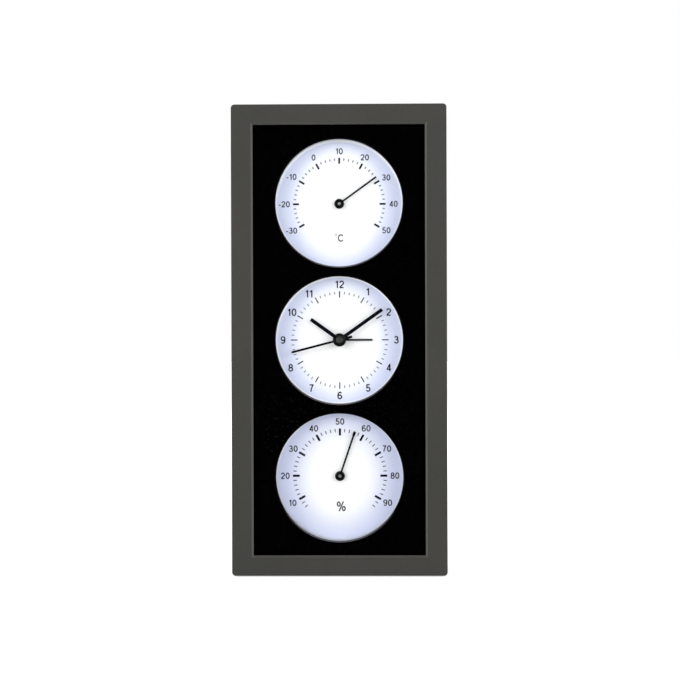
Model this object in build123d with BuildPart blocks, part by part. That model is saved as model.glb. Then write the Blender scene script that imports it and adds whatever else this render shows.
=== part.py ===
"""Desk thermometer, alarm clock and hygrometer, one above the other in a dark frame.

Millimetres. X runs to the right, Y to the back and Z up. The origin is on the table,
under the middle of the object. Instruments are drawn in planes that face the viewer.
"""

import os
from math import cos, pi, radians, sin

from build123d import *

os.makedirs("parts", exist_ok=True)

# Windows: three equal rounds, one above the other
window_radius = 28.0
window_chamfer = 0.6
window_gap = 4.4
window_side_margin = 9.75
window_end_margin = 6.05

# Frame
frame_corner = 1.6
frame_edge_round = 0.5
border_side = 9.5
border_end = 8.9
wall = 2.4
lip_depth = 1.8
lip_chamfer = 0.8

# Rubber strips under the frame
strip_length = 22.0
strip_width = 7.0
strip_proud = 0.5
strip_recess = 0.7
strip_end_inset = 17.0
strip_corner_gap = 0.2

# Glass, mask and dials
glass_thickness = 1.5
glass_ledge = 2.0
glass_gap = 0.3
panel_gap = 0.3
mask_thickness = 1.5
dial_depth = 7.2
dial_thickness = 0.5
dial_overlap = 0.4
well_gap = 0.2
well_wall = 1.8
well_floor = 2.0
carrier_thickness = 1.5

# Rear cover
cover_thickness = 2.0
access_gap = 0.6
collar_wall = 1.2
collar_overlap = 1.5
collar_corner = 3.6
vent_width = 2.4
vent_length = 34.0
vent_spacing = 6.0
vent_count = 5

# Screws, and the square posts in the frame's corners that the rear cover is screwed to
thread_gap = 0.05
head_gap = 0.15
post_size = 7.0
post_gap = 0.3
post_screw_inset = 3.6
carrier_screw_inset = 2.9
carrier_screw_radius = 0.9
carrier_screw_length = 4.9
carrier_head_radius = 2.3
carrier_head_height = 1.2
cover_screw_radius = 1.1
cover_screw_length = 9.0
cover_head_radius = 2.3
cover_head_height = 1.2
stake_width = 1.6
stake_gap = 0.1

# Thermometer and hygrometer works
bush_radius = 1.6
bush_bore = 0.65
bush_proud = 0.4
arbor_radius = 0.6
arbor_proud = 2.4
bridge_depth = 7.6
bridge_thickness = 0.8
bridge_width = 7.0
bridge_reach = 12.1
bridge_foot = 6.2
coil_height = 3.0
coil_thickness = 0.3
coil_start_radius = 1.65
coil_turn_spacing = 3.2
coil_half_turns = 6
pointer_thickness = 0.3
pointer_hub_radius = 2.2
pointer_hub_height = 0.9
thermometer_reach_share = 0.714
thermometer_width = 0.75
thermometer_angle = 54.1
hygrometer_reach_share = 0.732
hygrometer_width = 0.6
hygrometer_tip_width = 1.05
hygrometer_tip_length = 1.8
hygrometer_angle = 18.7

# Clock movement housing
movement_depth = 16.0
movement_corner = 3.0
front_plate_thickness = 1.6
case_wall = 1.2
case_back = 1.6
centre_bush_radius = 2.6
centre_bush_bore = 2.0
centre_bush_proud = 0.6
ear_width = 8.0
ear_screw_inset = 2.9
ear_head_gap = 2.0
ear_boss_offset = 1.9
ear_boss_radius = 2.9
case_tongue_length = 9.0
case_tongue_thickness = 1.2
case_tongue_height = 3.0
case_tongue_gap = 0.2
train_plate_front = 11.4
train_plate_thickness = 1.0
train_plate_margin = 2.2
pillar_width_share = 0.24
pillar_shares = [(-1.435, 1.065), (1.343, 0.833), (-0.926, -0.731)]
running_gap = 0.05

# Hands: radii of the nested pipes, then how far each stands in front of the dial
minute_pipe_radius = 0.95
minute_pipe_bore = 0.55
hour_pipe_radius = 1.45
hour_pipe_bore = 1.0
alarm_pipe_radius = 1.95
alarm_pipe_bore = 1.5
second_shaft_radius = 0.45
hand_thickness = 0.3
collet_height = 0.6
hand_spacing = 1.35
first_hand_height = 0.9
alarm_hub_radius = 2.8
hour_hub_radius = 2.5
minute_hub_radius = 2.2
cap_radius = 2.95
cap_height = 1.3
cap_bevel = 0.6
alarm_reach_share = 0.514
alarm_width = 0.75
alarm_angle = 90.0
hour_reach_share = 0.554
hour_width = 1.27
hour_angle = 305.7
minute_reach_share = 0.818
minute_width = 1.27
minute_angle = 54.6
second_reach_share = 0.775
second_width = 0.53
second_tail_reach_share = 0.204
second_tail_width = 0.8
second_angle = 255.5

# Gear train: tooth counts, arbor distances as shares of the room under the centre, and levels
rotor_leaves = 6
step_teeth = 36
step_leaves = 6
second_teeth = 30
second_leaves = 6
third_teeth = 45
third_leaves = 6
centre_teeth = 48
cannon_leaves = 8
day_teeth = 24
day_leaves = 6
hour_teeth = 24
time_knob_teeth = 10
alarm_teeth = 27
alarm_knob_teeth = 12
alarm_level = 1
hour_level = 2
day_level = 3
centre_level = 4
third_level = 5
second_level = 6
step_level = 7
third_arbor_share = 0.87
step_arbor_share = 0.889
day_arbor_share = 0.889
rotor_arbor_share = 0.519
alarm_knob_share = 1.083
third_direction = 125.0
step_direction = 62.0
day_direction = 0.0
rotor_direction = 80.0
time_knob_direction = -10.0
alarm_knob_direction = 190.0
train_arbor_radius = 0.4
knob_shaft_radius = 0.8
pivot_depth = 0.9
gear_width = 0.8
level_spacing = 1.3
first_level = 0.5
tooth_tip_share = 0.85
tooth_root_share = 1.15
tooth_tip_width_share = 0.2
tooth_root_width_share = 0.5
leaf_root_share = 1.3
leaf_pitch_width_share = 0.38
leaf_root_width_share = 0.28
crossing_count = 5
crossing_inner_share = 0.38
crossing_outer_share = 0.78
crossing_swing_share = 0.72

# Stepping motor and circuit
magnet_radius = 2.0
magnet_length = 1.4
magnet_gap = 0.3
stator_thickness = 0.8
stator_bar_width = 5.2
stator_reach_share = 0.295
stator_leg_width = 5.0
stator_leg_top_share = 0.464
core_width = 3.0
core_thickness = 1.6
bobbin_wall = 0.6
bobbin_flange_radius = 3.1
bobbin_flange_thickness = 0.8
winding_radius = 2.7
winding_height_share = 0.393
board_width = 8.2
board_top_gap = 1.55
board_bottom_gap = 5.65
board_thickness = 1.0
board_inset = 6.2
board_standoff = 9.5
board_post_width = 2.4
board_post_inset = 1.75
crystal_radius = 1.0
crystal_length = 6.0
crystal_offset = 1.8
chip_size = 4.2
chip_height = 0.9
chip_offset = 1.8
buzzer_radius = 6.0
buzzer_height = 4.6
buzzer_inset = 8.1
sound_slot_width = 1.0
sound_slot_length = 7.0
sound_slot_spacing = 2.4
sound_slot_count = 3

# Battery bay
cell_radius = 7.2
cell_length = 49.2
cell_nub_radius = 2.7
cell_nub_length = 1.3
cell_gap = 0.2
cell_bow = 1.5
cell_behind_plate = 0.4
bay_bottom_inset = 1.2
contact_thickness = 0.4
contact_width = 8.0
contact_height = 9.0
contact_bump_radius = 2.2
contact_bump_tip_radius = 1.6
leaf_width = 5.0
leaf_lift = 3.2

# Controls on the back
knob_radius = 5.0
knob_height = 4.4
knob_stand_off = 0.4
knob_recess = 2.7
knob_flutes = 12
knob_flute_depth = 0.5
switch_across = 3.0
switch_inset = 6.5
switch_travel = 3.0
switch_slot_height = 2.6
switch_slot_clearance = 0.2
switch_neck_length = 3.6
switch_cap_length = 6.0
switch_cap_width = 4.2
switch_cap_height = 1.8
switch_rib_count = 3
switch_rib_width = 0.5
switch_flange_length = 6.6
switch_flange_width = 4.6
switch_flange_thickness = 0.6
switch_play = 0.1
alarm_contact_end_gap = 0.3
alarm_contact_width = 2.0
alarm_contact_thickness = 0.2
alarm_contact_gap = 0.15
alarm_contact_post = 2.4

# Sizes that follow from those above
window_spacing = 2 * window_radius + window_gap
dial_radius = window_radius + dial_overlap
opening_width = 2 * (window_radius + window_side_margin)
opening_height = 2 * (window_spacing + window_radius + window_end_margin)
frame_width = opening_width + 2 * border_side
frame_height = opening_height + 2 * border_end
front_stack = lip_depth + glass_thickness + mask_thickness + dial_depth
rear_stack = movement_depth + knob_stand_off + knob_height + knob_recess
frame_depth = front_stack + dial_thickness + well_floor + rear_stack
contact_room = 2 * contact_thickness + cell_nub_length + cell_bow
movement_size = cell_length + contact_room + 2 * (case_wall + contact_thickness)
half_size = movement_size / 2
cell_up = bay_bottom_inset + cell_gap + cell_radius - half_size
bay_top = cell_up + cell_radius + cell_gap
divider_top = -bay_top - case_wall

# Places that follow from them
front_face = -frame_depth / 2
rear_face = frame_depth / 2
frame_centre = strip_proud + frame_height / 2
glass_front = front_face + lip_depth
bezel_back = glass_front + glass_thickness
mask_back = bezel_back + mask_thickness
carrier_back = mask_back + carrier_thickness
dial_face = mask_back + dial_depth
floor_front = dial_face + dial_thickness
floor_back = floor_front + well_floor
cover_back = rear_face - cover_head_height
cover_front = cover_back - cover_thickness
cavity_width = frame_width - 2 * wall
cavity_height = frame_height - 2 * wall
panel_width = cavity_width - 2 * panel_gap
panel_height = cavity_height - 2 * panel_gap
well_radius = dial_radius + well_gap
thermometer_centre = frame_centre + window_spacing
clock_centre = frame_centre
hygrometer_centre = frame_centre - window_spacing
centres = {
    "thermometer": thermometer_centre,
    "clock": clock_centre,
    "hygrometer": hygrometer_centre,
}
carrier_screw_across = cavity_width / 2 - carrier_screw_inset
carrier_screw_places = [
    (-carrier_screw_across, window_spacing / 2),
    (carrier_screw_across, -window_spacing / 2),
]
post_places = [
    (side * (cavity_width - post_size) / 2, end * (cavity_height - post_size) / 2)
    for side in (-1, 1)
    for end in (-1, 1)
]
post_screw_places = [
    (
        side * (cavity_width / 2 - post_screw_inset),
        end * (cavity_height / 2 - post_screw_inset),
    )
    for side in (-1, 1)
    for end in (-1, 1)
]
notch_size = post_size + post_gap
screw_hold = carrier_screw_length - mask_thickness - carrier_thickness


def facing(depth, up=0, across=0):
    """A plane towards the viewer: its x runs right, its y up, and an extrusion comes forward."""
    return Plane(origin=(across, depth, up), x_dir=(1, 0, 0), z_dir=(0, -1, 0))


def ring(plane, radius, bore=0, centre=(0, 0)):
    """A disc, or a ring where it has a bore."""
    with BuildSketch(plane) as outline:
        with Locations(centre):
            Circle(radius)
            if bore:
                Circle(bore, mode=Mode.SUBTRACT)
    return outline.sketch


def polar(distance, direction, start=(0, 0)):
    """The point at a distance and direction, in degrees from the right, from another."""
    return (
        start[0] + distance * cos(radians(direction)),
        start[1] + distance * sin(radians(direction)),
    )


def save(builder, label):
    """Labels a finished piece and writes it."""
    builder.part.label = label
    export_step(builder.part, f"parts/{label}.step")


# Front frame: a deep moulded box, open at the back, with a chamfered opening in front
with BuildPart() as front_frame:
    with BuildSketch(facing(rear_face, frame_centre)):
        RectangleRounded(frame_width, frame_height, frame_corner)
    extrude(amount=frame_depth)
    outer_edges = front_frame.faces().sort_by(Axis.Y)[0].edges()
    fillet(outer_edges, frame_edge_round)
    with BuildSketch(facing(rear_face, frame_centre)):
        Rectangle(cavity_width, cavity_height)
    extrude(amount=rear_face - bezel_back, mode=Mode.SUBTRACT)
    with BuildSketch(facing(bezel_back, frame_centre)):
        Rectangle(opening_width + 2 * glass_ledge, opening_height + 2 * glass_ledge)
    extrude(amount=glass_thickness, mode=Mode.SUBTRACT)
    with BuildSketch(facing(glass_front, frame_centre)):
        Rectangle(opening_width, opening_height)
    extrude(amount=lip_depth, mode=Mode.SUBTRACT)
    lip_edges = front_frame.faces().sort_by(Axis.Y)[0].inner_wires()[0].edges()
    chamfer(lip_edges, lip_chamfer)
    with BuildSketch(facing(cover_front, frame_centre)):
        with Locations(*post_places):
            Rectangle(post_size, post_size)
    extrude(amount=cover_front - bezel_back)
    with BuildSketch(facing(cover_front, frame_centre)):
        with Locations(*post_screw_places):
            Circle(cover_screw_radius + thread_gap)
    extrude(amount=cover_screw_length, mode=Mode.SUBTRACT)
    with BuildSketch(facing(bezel_back, frame_centre)):
        with Locations(*carrier_screw_places):
            Circle(carrier_screw_radius + thread_gap)
    extrude(amount=screw_hold, mode=Mode.SUBTRACT)
    strip_places = [
        (side * (frame_width / 2 - strip_end_inset), 0) for side in (-1, 1)
    ]
    with BuildSketch(Plane.XY.offset(strip_proud)):
        with Locations(*strip_places):
            Rectangle(strip_length, strip_width)
    extrude(amount=strip_recess, mode=Mode.SUBTRACT)
save(front_frame, "front_frame")

with BuildPart() as rubber_feet:
    with BuildSketch(Plane.XY):
        with Locations(*strip_places):
            Rectangle(strip_length - 2 * strip_corner_gap, strip_width - 2 * strip_corner_gap)
    extrude(amount=strip_proud + strip_recess)
save(rubber_feet, "rubber_feet")

# Window glass: one pane in the rebate behind the lip
with BuildPart() as window_glass:
    with BuildSketch(facing(bezel_back, frame_centre)):
        Rectangle(
            opening_width + 2 * glass_ledge - 2 * glass_gap,
            opening_height + 2 * glass_ledge - 2 * glass_gap,
        )
    extrude(amount=glass_thickness)
save(window_glass, "window_glass")

# Mask panel: black, with three chamfered windows, notched round the frame's posts
with BuildPart() as mask_panel:
    with BuildSketch(facing(mask_back, frame_centre)):
        Rectangle(panel_width, panel_height)
        with Locations(*post_places):
            Rectangle(notch_size, notch_size, mode=Mode.SUBTRACT)
        with Locations(*carrier_screw_places):
            Circle(carrier_screw_radius + head_gap, mode=Mode.SUBTRACT)
        with Locations((0, window_spacing), (0, 0), (0, -window_spacing)):
            Circle(window_radius, mode=Mode.SUBTRACT)
    extrude(amount=mask_thickness)
    rims = mask_panel.faces().sort_by(Axis.Y)[0].edges().filter_by(GeomType.CIRCLE)
    chamfer([rim for rim in rims if rim.radius > window_radius / 2], window_chamfer)
save(mask_panel, "mask_panel")

# Dial carrier: a plate with three wells, each with a floor for its dial
ear_screw_across = max(
    half_size + carrier_head_radius + ear_head_gap,
    well_radius + well_wall + ear_boss_offset,
)
ear_end = ear_screw_across + ear_screw_inset
bridge_stake_across = bridge_reach + bridge_thickness + bridge_foot / 2
with BuildPart() as dial_carrier:
    with BuildSketch(facing(carrier_back, frame_centre)):
        Rectangle(panel_width, panel_height)
        with Locations(*post_places):
            Rectangle(notch_size, notch_size, mode=Mode.SUBTRACT)
        with Locations(*carrier_screw_places):
            Circle(carrier_screw_radius + head_gap, mode=Mode.SUBTRACT)
    extrude(amount=carrier_thickness)
    with BuildSketch(facing(floor_back, frame_centre)):
        with Locations((0, window_spacing), (0, 0), (0, -window_spacing)):
            Circle(well_radius + well_wall)
    extrude(amount=floor_back - mask_back)
    with BuildSketch(facing(floor_front, frame_centre)):
        with Locations((0, window_spacing), (0, 0), (0, -window_spacing)):
            Circle(well_radius)
    extrude(amount=floor_front - mask_back, mode=Mode.SUBTRACT)
    with BuildSketch(facing(floor_back, clock_centre)):
        with Locations((ear_screw_across, 0), (-ear_screw_across, 0)):
            Rectangle(2 * ear_boss_radius, 2 * ear_boss_radius)
    extrude(amount=floor_back - carrier_back)
    with BuildSketch(facing(floor_back, clock_centre)):
        Circle(centre_bush_radius + running_gap)
    extrude(amount=well_floor, mode=Mode.SUBTRACT)
    with BuildSketch(facing(floor_back, clock_centre)):
        with Locations((ear_screw_across, 0), (-ear_screw_across, 0)):
            Circle(carrier_screw_radius + thread_gap)
    extrude(amount=carrier_screw_length, mode=Mode.SUBTRACT)
    with BuildSketch(facing(floor_back, frame_centre)):
        with Locations((0, window_spacing), (0, -window_spacing)):
            Circle(bush_radius + running_gap)
    extrude(amount=well_floor, mode=Mode.SUBTRACT)
    with BuildSketch(facing(floor_back + bridge_thickness + stake_width, frame_centre)):
        with Locations((0, window_spacing), (0, -window_spacing)):
            with Locations((bridge_stake_across, 0), (-bridge_stake_across, 0)):
                Rectangle(stake_width, stake_width)
    extrude(amount=bridge_thickness + stake_width)
save(dial_carrier, "dial_carrier")

# Dials: thin discs in the wells, bored for the bush that each one carries
for name, centre in centres.items():
    bore = centre_bush_radius if name == "clock" else bush_radius
    with BuildPart() as dial:
        extrude(ring(facing(floor_front, centre), dial_radius, bore + running_gap), dial_thickness)
    save(dial, f"{name}_dial")

# Rear cover: vented behind both instruments, with a collar round the movement's back
access = movement_size + 2 * access_gap
movement_back = floor_back + movement_depth
with BuildPart() as rear_cover:
    with BuildSketch(facing(cover_back, frame_centre)):
        Rectangle(panel_width, panel_height)
    extrude(amount=cover_thickness)
    with BuildSketch(facing(cover_front, clock_centre)):
        collar_size = access + 2 * collar_wall
        RectangleRounded(collar_size, collar_size, collar_corner + collar_wall)
    extrude(amount=cover_front - movement_back + collar_overlap)
    with BuildSketch(facing(cover_back, clock_centre)):
        RectangleRounded(access, access, collar_corner)
    extrude(amount=cover_back - movement_back + collar_overlap, mode=Mode.SUBTRACT)
    with BuildSketch(facing(cover_back, frame_centre)):
        with Locations((0, window_spacing), (0, -window_spacing)):
            with GridLocations(0, vent_spacing, 1, vent_count):
                Rectangle(vent_length, vent_width)
        with Locations(*post_screw_places):
            Circle(cover_screw_radius + head_gap)
    extrude(amount=cover_thickness, mode=Mode.SUBTRACT)
save(rear_cover, "rear_cover")


def screws(seat, places, head_radius, head_height, shank_radius, shank_length, up=0):
    """Screws driven forwards: each head rests on the seat and its shank runs ahead of it."""
    with BuildPart() as group:
        with BuildSketch(facing(seat + head_height, up)):
            with Locations(*places):
                Circle(head_radius)
        extrude(amount=head_height)
        with BuildSketch(facing(seat, up)):
            with Locations(*places):
                Circle(shank_radius)
        extrude(amount=shank_length)
    return group


end_gap = thread_gap
save(
    screws(
        carrier_back,
        carrier_screw_places,
        carrier_head_radius,
        carrier_head_height,
        carrier_screw_radius,
        carrier_screw_length - end_gap,
        frame_centre,
    ),
    "carrier_screws",
)
save(
    screws(
        cover_back,
        post_screw_places,
        cover_head_radius,
        cover_head_height,
        cover_screw_radius,
        cover_thickness + cover_screw_length - end_gap,
        frame_centre,
    ),
    "rear_cover_screws",
)

# Thermometer and hygrometer works: bush, arbor, coil and bridge, then a pointer
bridge_back = floor_back + bridge_depth
coil_back = bridge_back - bridge_thickness - (bridge_depth - bridge_thickness - coil_height) / 2
hub_front = dial_face - arbor_proud
for name in ("thermometer", "hygrometer"):
    centre = centres[name]
    with BuildPart() as bush:
        bush_length = floor_back - dial_face + bush_proud
        extrude(ring(facing(floor_back, centre), bush_radius, bush_bore), bush_length)
    save(bush, f"{name}_bush")

    with BuildPart() as arbor:
        extrude(ring(facing(bridge_back, centre), arbor_radius), bridge_back - hub_front)
    save(arbor, f"{name}_arbor")

    with BuildPart() as bridge:
        span = 2 * (bridge_reach + bridge_thickness)
        with BuildSketch(facing(bridge_back, centre)):
            Rectangle(span, bridge_width)
            Circle(arbor_radius + running_gap, mode=Mode.SUBTRACT)
        extrude(amount=bridge_thickness)
        with BuildSketch(facing(bridge_back, centre)):
            with Locations((bridge_reach + bridge_thickness / 2, 0)):
                Rectangle(bridge_thickness, bridge_width)
            with Locations((-bridge_reach - bridge_thickness / 2, 0)):
                Rectangle(bridge_thickness, bridge_width)
        extrude(amount=bridge_depth)
        with BuildSketch(facing(floor_back + bridge_thickness, centre)):
            with Locations((bridge_stake_across, 0), (-bridge_stake_across, 0)):
                Rectangle(bridge_foot, bridge_width)
                Rectangle(stake_width + stake_gap, stake_width + stake_gap, mode=Mode.SUBTRACT)
        extrude(amount=bridge_thickness)
    save(bridge, f"{name}_bridge")

    # A strip wound in half circles, whose centres swap sides so that it opens evenly
    with BuildPart() as coil:
        with BuildSketch(facing(coil_back, centre)):
            with BuildLine():
                for side in (-1, 1):
                    for half in range(coil_half_turns):
                        sense = 1 if half % 2 == 0 else -1
                        radius = coil_start_radius + half * coil_turn_spacing / 2
                        CenterArc(
                            center=(-sense * coil_turn_spacing / 4, 0),
                            radius=radius + side * coil_thickness / 2,
                            start_angle=0 if sense == 1 else 180,
                            arc_size=180,
                        )
                start = coil_start_radius - coil_turn_spacing / 4
                end_radius = coil_start_radius + (coil_half_turns - 1) * coil_turn_spacing / 2
                end = end_radius + coil_turn_spacing / 4
                for place in (start, end):
                    Line((place - coil_thickness / 2, 0), (place + coil_thickness / 2, 0))
            make_face()
        extrude(amount=coil_height)
    save(coil, f"{name}_coil")

def clock_angle(angle):
    """Turns an angle read clockwise from twelve into one read from the right."""
    return 90 - angle


def blade(plane, angle, reach, width, start=0, tip_width=None, tip_length=0):
    """A straight hand blade from its centre outwards, with a wider end where one is asked for."""
    with BuildSketch(plane) as outline:
        with Locations(Rotation(0, 0, clock_angle(angle))):
            with Locations(((start + reach) / 2, 0)):
                Rectangle(reach - start, width)
            if tip_width:
                with Locations((reach - tip_length / 2, 0)):
                    Rectangle(tip_length, tip_width)
    return outline.sketch


pointer_front = hub_front + pointer_hub_height
with BuildPart() as thermometer_pointer:
    pointer_plane = facing(pointer_front, thermometer_centre)
    extrude(ring(pointer_plane, pointer_hub_radius), pointer_hub_height)
    reach = thermometer_reach_share * window_radius
    needle = blade(pointer_plane, thermometer_angle, reach, thermometer_width)
    extrude(needle, pointer_thickness)
    extrude(ring(pointer_plane, arbor_radius), pointer_hub_height, mode=Mode.SUBTRACT)
save(thermometer_pointer, "thermometer_pointer")

with BuildPart() as hygrometer_pointer:
    pointer_plane = facing(pointer_front, hygrometer_centre)
    extrude(ring(pointer_plane, pointer_hub_radius), pointer_hub_height)
    needle = blade(
        pointer_plane,
        hygrometer_angle,
        hygrometer_reach_share * window_radius,
        hygrometer_width,
        tip_width=hygrometer_tip_width,
        tip_length=hygrometer_tip_length,
    )
    extrude(needle, pointer_thickness)
    extrude(ring(pointer_plane, arbor_radius), pointer_hub_height, mode=Mode.SUBTRACT)
save(hygrometer_pointer, "hygrometer_pointer")

# Clock movement: where its arbors stand, from the centre arbor
plate_back = floor_back + front_plate_thickness
case_inside_back = movement_back - case_back
train_front = floor_back + train_plate_front
train_back = train_front + train_plate_thickness
centre_arbor = (0, 0)
third_arbor_distance = third_arbor_share * divider_top
step_arbor_distance = step_arbor_share * divider_top
day_arbor_distance = day_arbor_share * divider_top
rotor_arbor_distance = rotor_arbor_share * divider_top
alarm_knob_distance = alarm_knob_share * divider_top
third_arbor = polar(third_arbor_distance, third_direction)
step_arbor = polar(step_arbor_distance, step_direction)
day_arbor = polar(day_arbor_distance, day_direction)
rotor_arbor = polar(rotor_arbor_distance, rotor_direction, step_arbor)
alarm_knob_arbor = polar(alarm_knob_distance, alarm_knob_direction)
day_module = 2 * day_arbor_distance / (cannon_leaves + day_teeth)
time_knob_distance = day_module * (day_teeth + time_knob_teeth) / 2
time_knob_arbor = polar(time_knob_distance, time_knob_direction, day_arbor)
pillar_places = [(across * divider_top, up * divider_top) for across, up in pillar_shares]
pillar_width = pillar_width_share * divider_top
board_across = board_inset - half_size
board_top = half_size - buzzer_inset - buzzer_radius - board_top_gap
board_bottom = board_bottom_gap - divider_top
board_length = board_top - board_bottom
board_up = (board_top + board_bottom) / 2
board_post_places = [
    (board_across, board_bottom + board_post_inset),
    (board_across, board_top - board_post_inset),
]
board_front = floor_back + board_standoff

with BuildPart() as movement_front_plate:
    with BuildSketch(facing(plate_back, clock_centre)):
        RectangleRounded(movement_size, movement_size, movement_corner)
        Rectangle(2 * ear_end, ear_width)
    extrude(amount=front_plate_thickness)
    with BuildSketch(facing(plate_back, clock_centre)):
        with Locations((ear_screw_across, 0), (-ear_screw_across, 0)):
            Circle(carrier_screw_radius + head_gap)
        Circle(centre_bush_bore)
    extrude(amount=front_plate_thickness, mode=Mode.SUBTRACT)
    bush_plane = facing(floor_back, clock_centre)
    bush_length = floor_back - dial_face + centre_bush_proud
    extrude(ring(bush_plane, centre_bush_radius, centre_bush_bore), bush_length)
    with BuildSketch(facing(plate_back + case_tongue_height, clock_centre)):
        tongue_across = half_size - case_wall - case_tongue_gap - case_tongue_thickness / 2
        with Locations((tongue_across, 0), (-tongue_across, 0)):
            Rectangle(case_tongue_thickness, case_tongue_length)
        with Locations((0, tongue_across)):
            Rectangle(case_tongue_length, case_tongue_thickness)
    extrude(amount=case_tongue_height)
    with BuildSketch(facing(train_front, clock_centre)):
        with Locations(*pillar_places):
            Rectangle(pillar_width, pillar_width)
    extrude(amount=train_front - plate_back)
    with BuildSketch(facing(train_back, clock_centre)):
        with Locations(*pillar_places):
            Rectangle(stake_width, stake_width)
    extrude(amount=train_plate_thickness)
    with BuildSketch(facing(board_front, clock_centre)):
        with Locations(*board_post_places):
            Rectangle(board_post_width, board_post_width)
    extrude(amount=board_front - plate_back)
    with BuildSketch(facing(board_front + board_thickness, clock_centre)):
        with Locations(*board_post_places):
            Rectangle(stake_width, stake_width)
    extrude(amount=board_thickness)
    with BuildSketch(facing(plate_back, clock_centre)):
        with Locations(third_arbor, step_arbor, day_arbor, rotor_arbor):
            Circle(train_arbor_radius + running_gap)
        with Locations(time_knob_arbor, alarm_knob_arbor):
            Circle(knob_shaft_radius + running_gap)
    extrude(amount=pivot_depth, mode=Mode.SUBTRACT)
save(movement_front_plate, "movement_front_plate")

buzzer_place = (buzzer_inset - half_size, half_size - buzzer_inset)
switch_up = half_size - switch_inset
slot_length = switch_neck_length + switch_travel + 2 * switch_slot_clearance
slot_across = switch_across + switch_travel / 2
with BuildPart() as movement_rear_case:
    with BuildSketch(facing(movement_back, clock_centre)):
        RectangleRounded(movement_size, movement_size, movement_corner)
    extrude(amount=movement_back - plate_back)
    with BuildSketch(facing(case_inside_back, clock_centre)):
        with Locations((0, (half_size - case_wall - divider_top) / 2)):
            Rectangle(movement_size - 2 * case_wall, half_size - case_wall + divider_top)
    extrude(amount=case_inside_back - plate_back, mode=Mode.SUBTRACT)
    bay_bottom = bay_bottom_inset - half_size
    with BuildSketch(facing(movement_back, clock_centre)):
        with Locations((0, (bay_top + bay_bottom) / 2)):
            Rectangle(movement_size - 2 * case_wall, bay_top - bay_bottom)
    extrude(amount=movement_back - plate_back, mode=Mode.SUBTRACT)
    with BuildSketch(facing(movement_back, clock_centre)):
        with Locations(time_knob_arbor, alarm_knob_arbor):
            Circle(knob_shaft_radius + running_gap)
        with Locations((slot_across, switch_up)):
            Rectangle(slot_length, switch_slot_height)
        with Locations(buzzer_place):
            with GridLocations(0, sound_slot_spacing, 1, sound_slot_count):
                Rectangle(sound_slot_length, sound_slot_width)
    extrude(amount=case_back, mode=Mode.SUBTRACT)
    # The post inside that carries the alarm contact
    flange_end = switch_across + switch_travel + switch_flange_length / 2
    contact_end = flange_end + alarm_contact_end_gap + alarm_contact_post
    flange_back = case_inside_back - switch_play
    contact_back = flange_back - switch_flange_thickness - alarm_contact_gap
    with BuildSketch(facing(case_inside_back, clock_centre)):
        with Locations((contact_end - alarm_contact_post / 2, switch_up)):
            Rectangle(alarm_contact_post, alarm_contact_width)
    extrude(amount=case_inside_back - contact_back)
save(movement_rear_case, "movement_rear_case")

with BuildPart() as alarm_contact:
    alarm_contact_length = 2 * (contact_end - slot_across)
    with BuildSketch(facing(contact_back, clock_centre)):
        with Locations((slot_across, switch_up)):
            Rectangle(alarm_contact_length, alarm_contact_width)
    extrude(amount=alarm_contact_thickness)
save(alarm_contact, "alarm_contact")

save(
    screws(
        plate_back,
        [(ear_screw_across, 0), (-ear_screw_across, 0)],
        carrier_head_radius,
        carrier_head_height,
        carrier_screw_radius,
        front_plate_thickness + carrier_screw_length - end_gap,
        clock_centre,
    ),
    "movement_screws",
)

# Train plate: the bridge that holds the rear pivots, heat staked on three pillars
with BuildPart() as train_plate:
    corners = [*pillar_places, rotor_arbor, third_arbor, day_arbor, alarm_knob_arbor]
    with BuildSketch(facing(train_back, clock_centre)):
        with Locations(*corners):
            Circle(train_plate_margin)
        make_hull()
        with Locations(*pillar_places):
            Rectangle(stake_width + stake_gap, stake_width + stake_gap, mode=Mode.SUBTRACT)
        with Locations(third_arbor, step_arbor, day_arbor, rotor_arbor):
            Circle(train_arbor_radius + running_gap, mode=Mode.SUBTRACT)
        Circle(second_shaft_radius + running_gap, mode=Mode.SUBTRACT)
        with Locations(alarm_knob_arbor):
            Circle(knob_shaft_radius + running_gap, mode=Mode.SUBTRACT)
    extrude(amount=train_plate_thickness)
save(train_plate, "train_plate")


def level(number):
    """The back face of a gear at a level, counted from the front plate."""
    return plate_back + first_level + (number - 1) * level_spacing + gear_width


def toothed(plane, teeth, module, phase, leaves=False):
    """A wheel or pinion outline: trapezoid teeth, or leaves with straight feet on a pinion."""
    pitch_radius = teeth * module / 2
    tip_radius = pitch_radius + tooth_tip_share * module
    foot_share = leaf_root_share if leaves else tooth_root_share
    root_radius = pitch_radius - foot_share * module
    arc = pi * module / 2
    flank = [(tip_radius, tooth_tip_width_share * arc)]
    if leaves:
        flank.append((pitch_radius, leaf_pitch_width_share * arc))
        flank.append((root_radius, leaf_root_width_share * arc))
    else:
        flank.append((root_radius, tooth_root_width_share * arc))
    corners = []
    for tooth in range(teeth):
        middle = phase + tooth * 360 / teeth
        rise = [(radius, -half / radius) for radius, half in reversed(flank)]
        fall = [(radius, half / radius) for radius, half in flank]
        for radius, swing in rise + fall:
            corners.append(polar(radius, middle + swing * 180 / pi))
    with BuildSketch(plane) as outline:
        with BuildLine():
            Polyline(*corners, close=True)
        make_face()
    return outline.sketch


def direction(start, end):
    """The direction, in degrees from the right, of one arbor seen from another."""
    return Vector(end[0] - start[0], end[1] - start[1]).get_signed_angle(
        Vector(1, 0), Vector(0, 0, -1)
    )


def meshing(teeth, phase, other_teeth, towards):
    """The phase that sets another gear's gap against this gear's tooth."""
    lead = (phase - towards) * teeth / 360
    return towards + 180 + (1 / 2 - lead) * 360 / other_teeth


def module_for(distance, teeth, other_teeth):
    """The module that two gears need to meet at a distance."""
    return 2 * distance / (teeth + other_teeth)


def at(place, back):
    """A plane at an arbor of the movement."""
    return facing(back, clock_centre + place[1], place[0])


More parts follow.
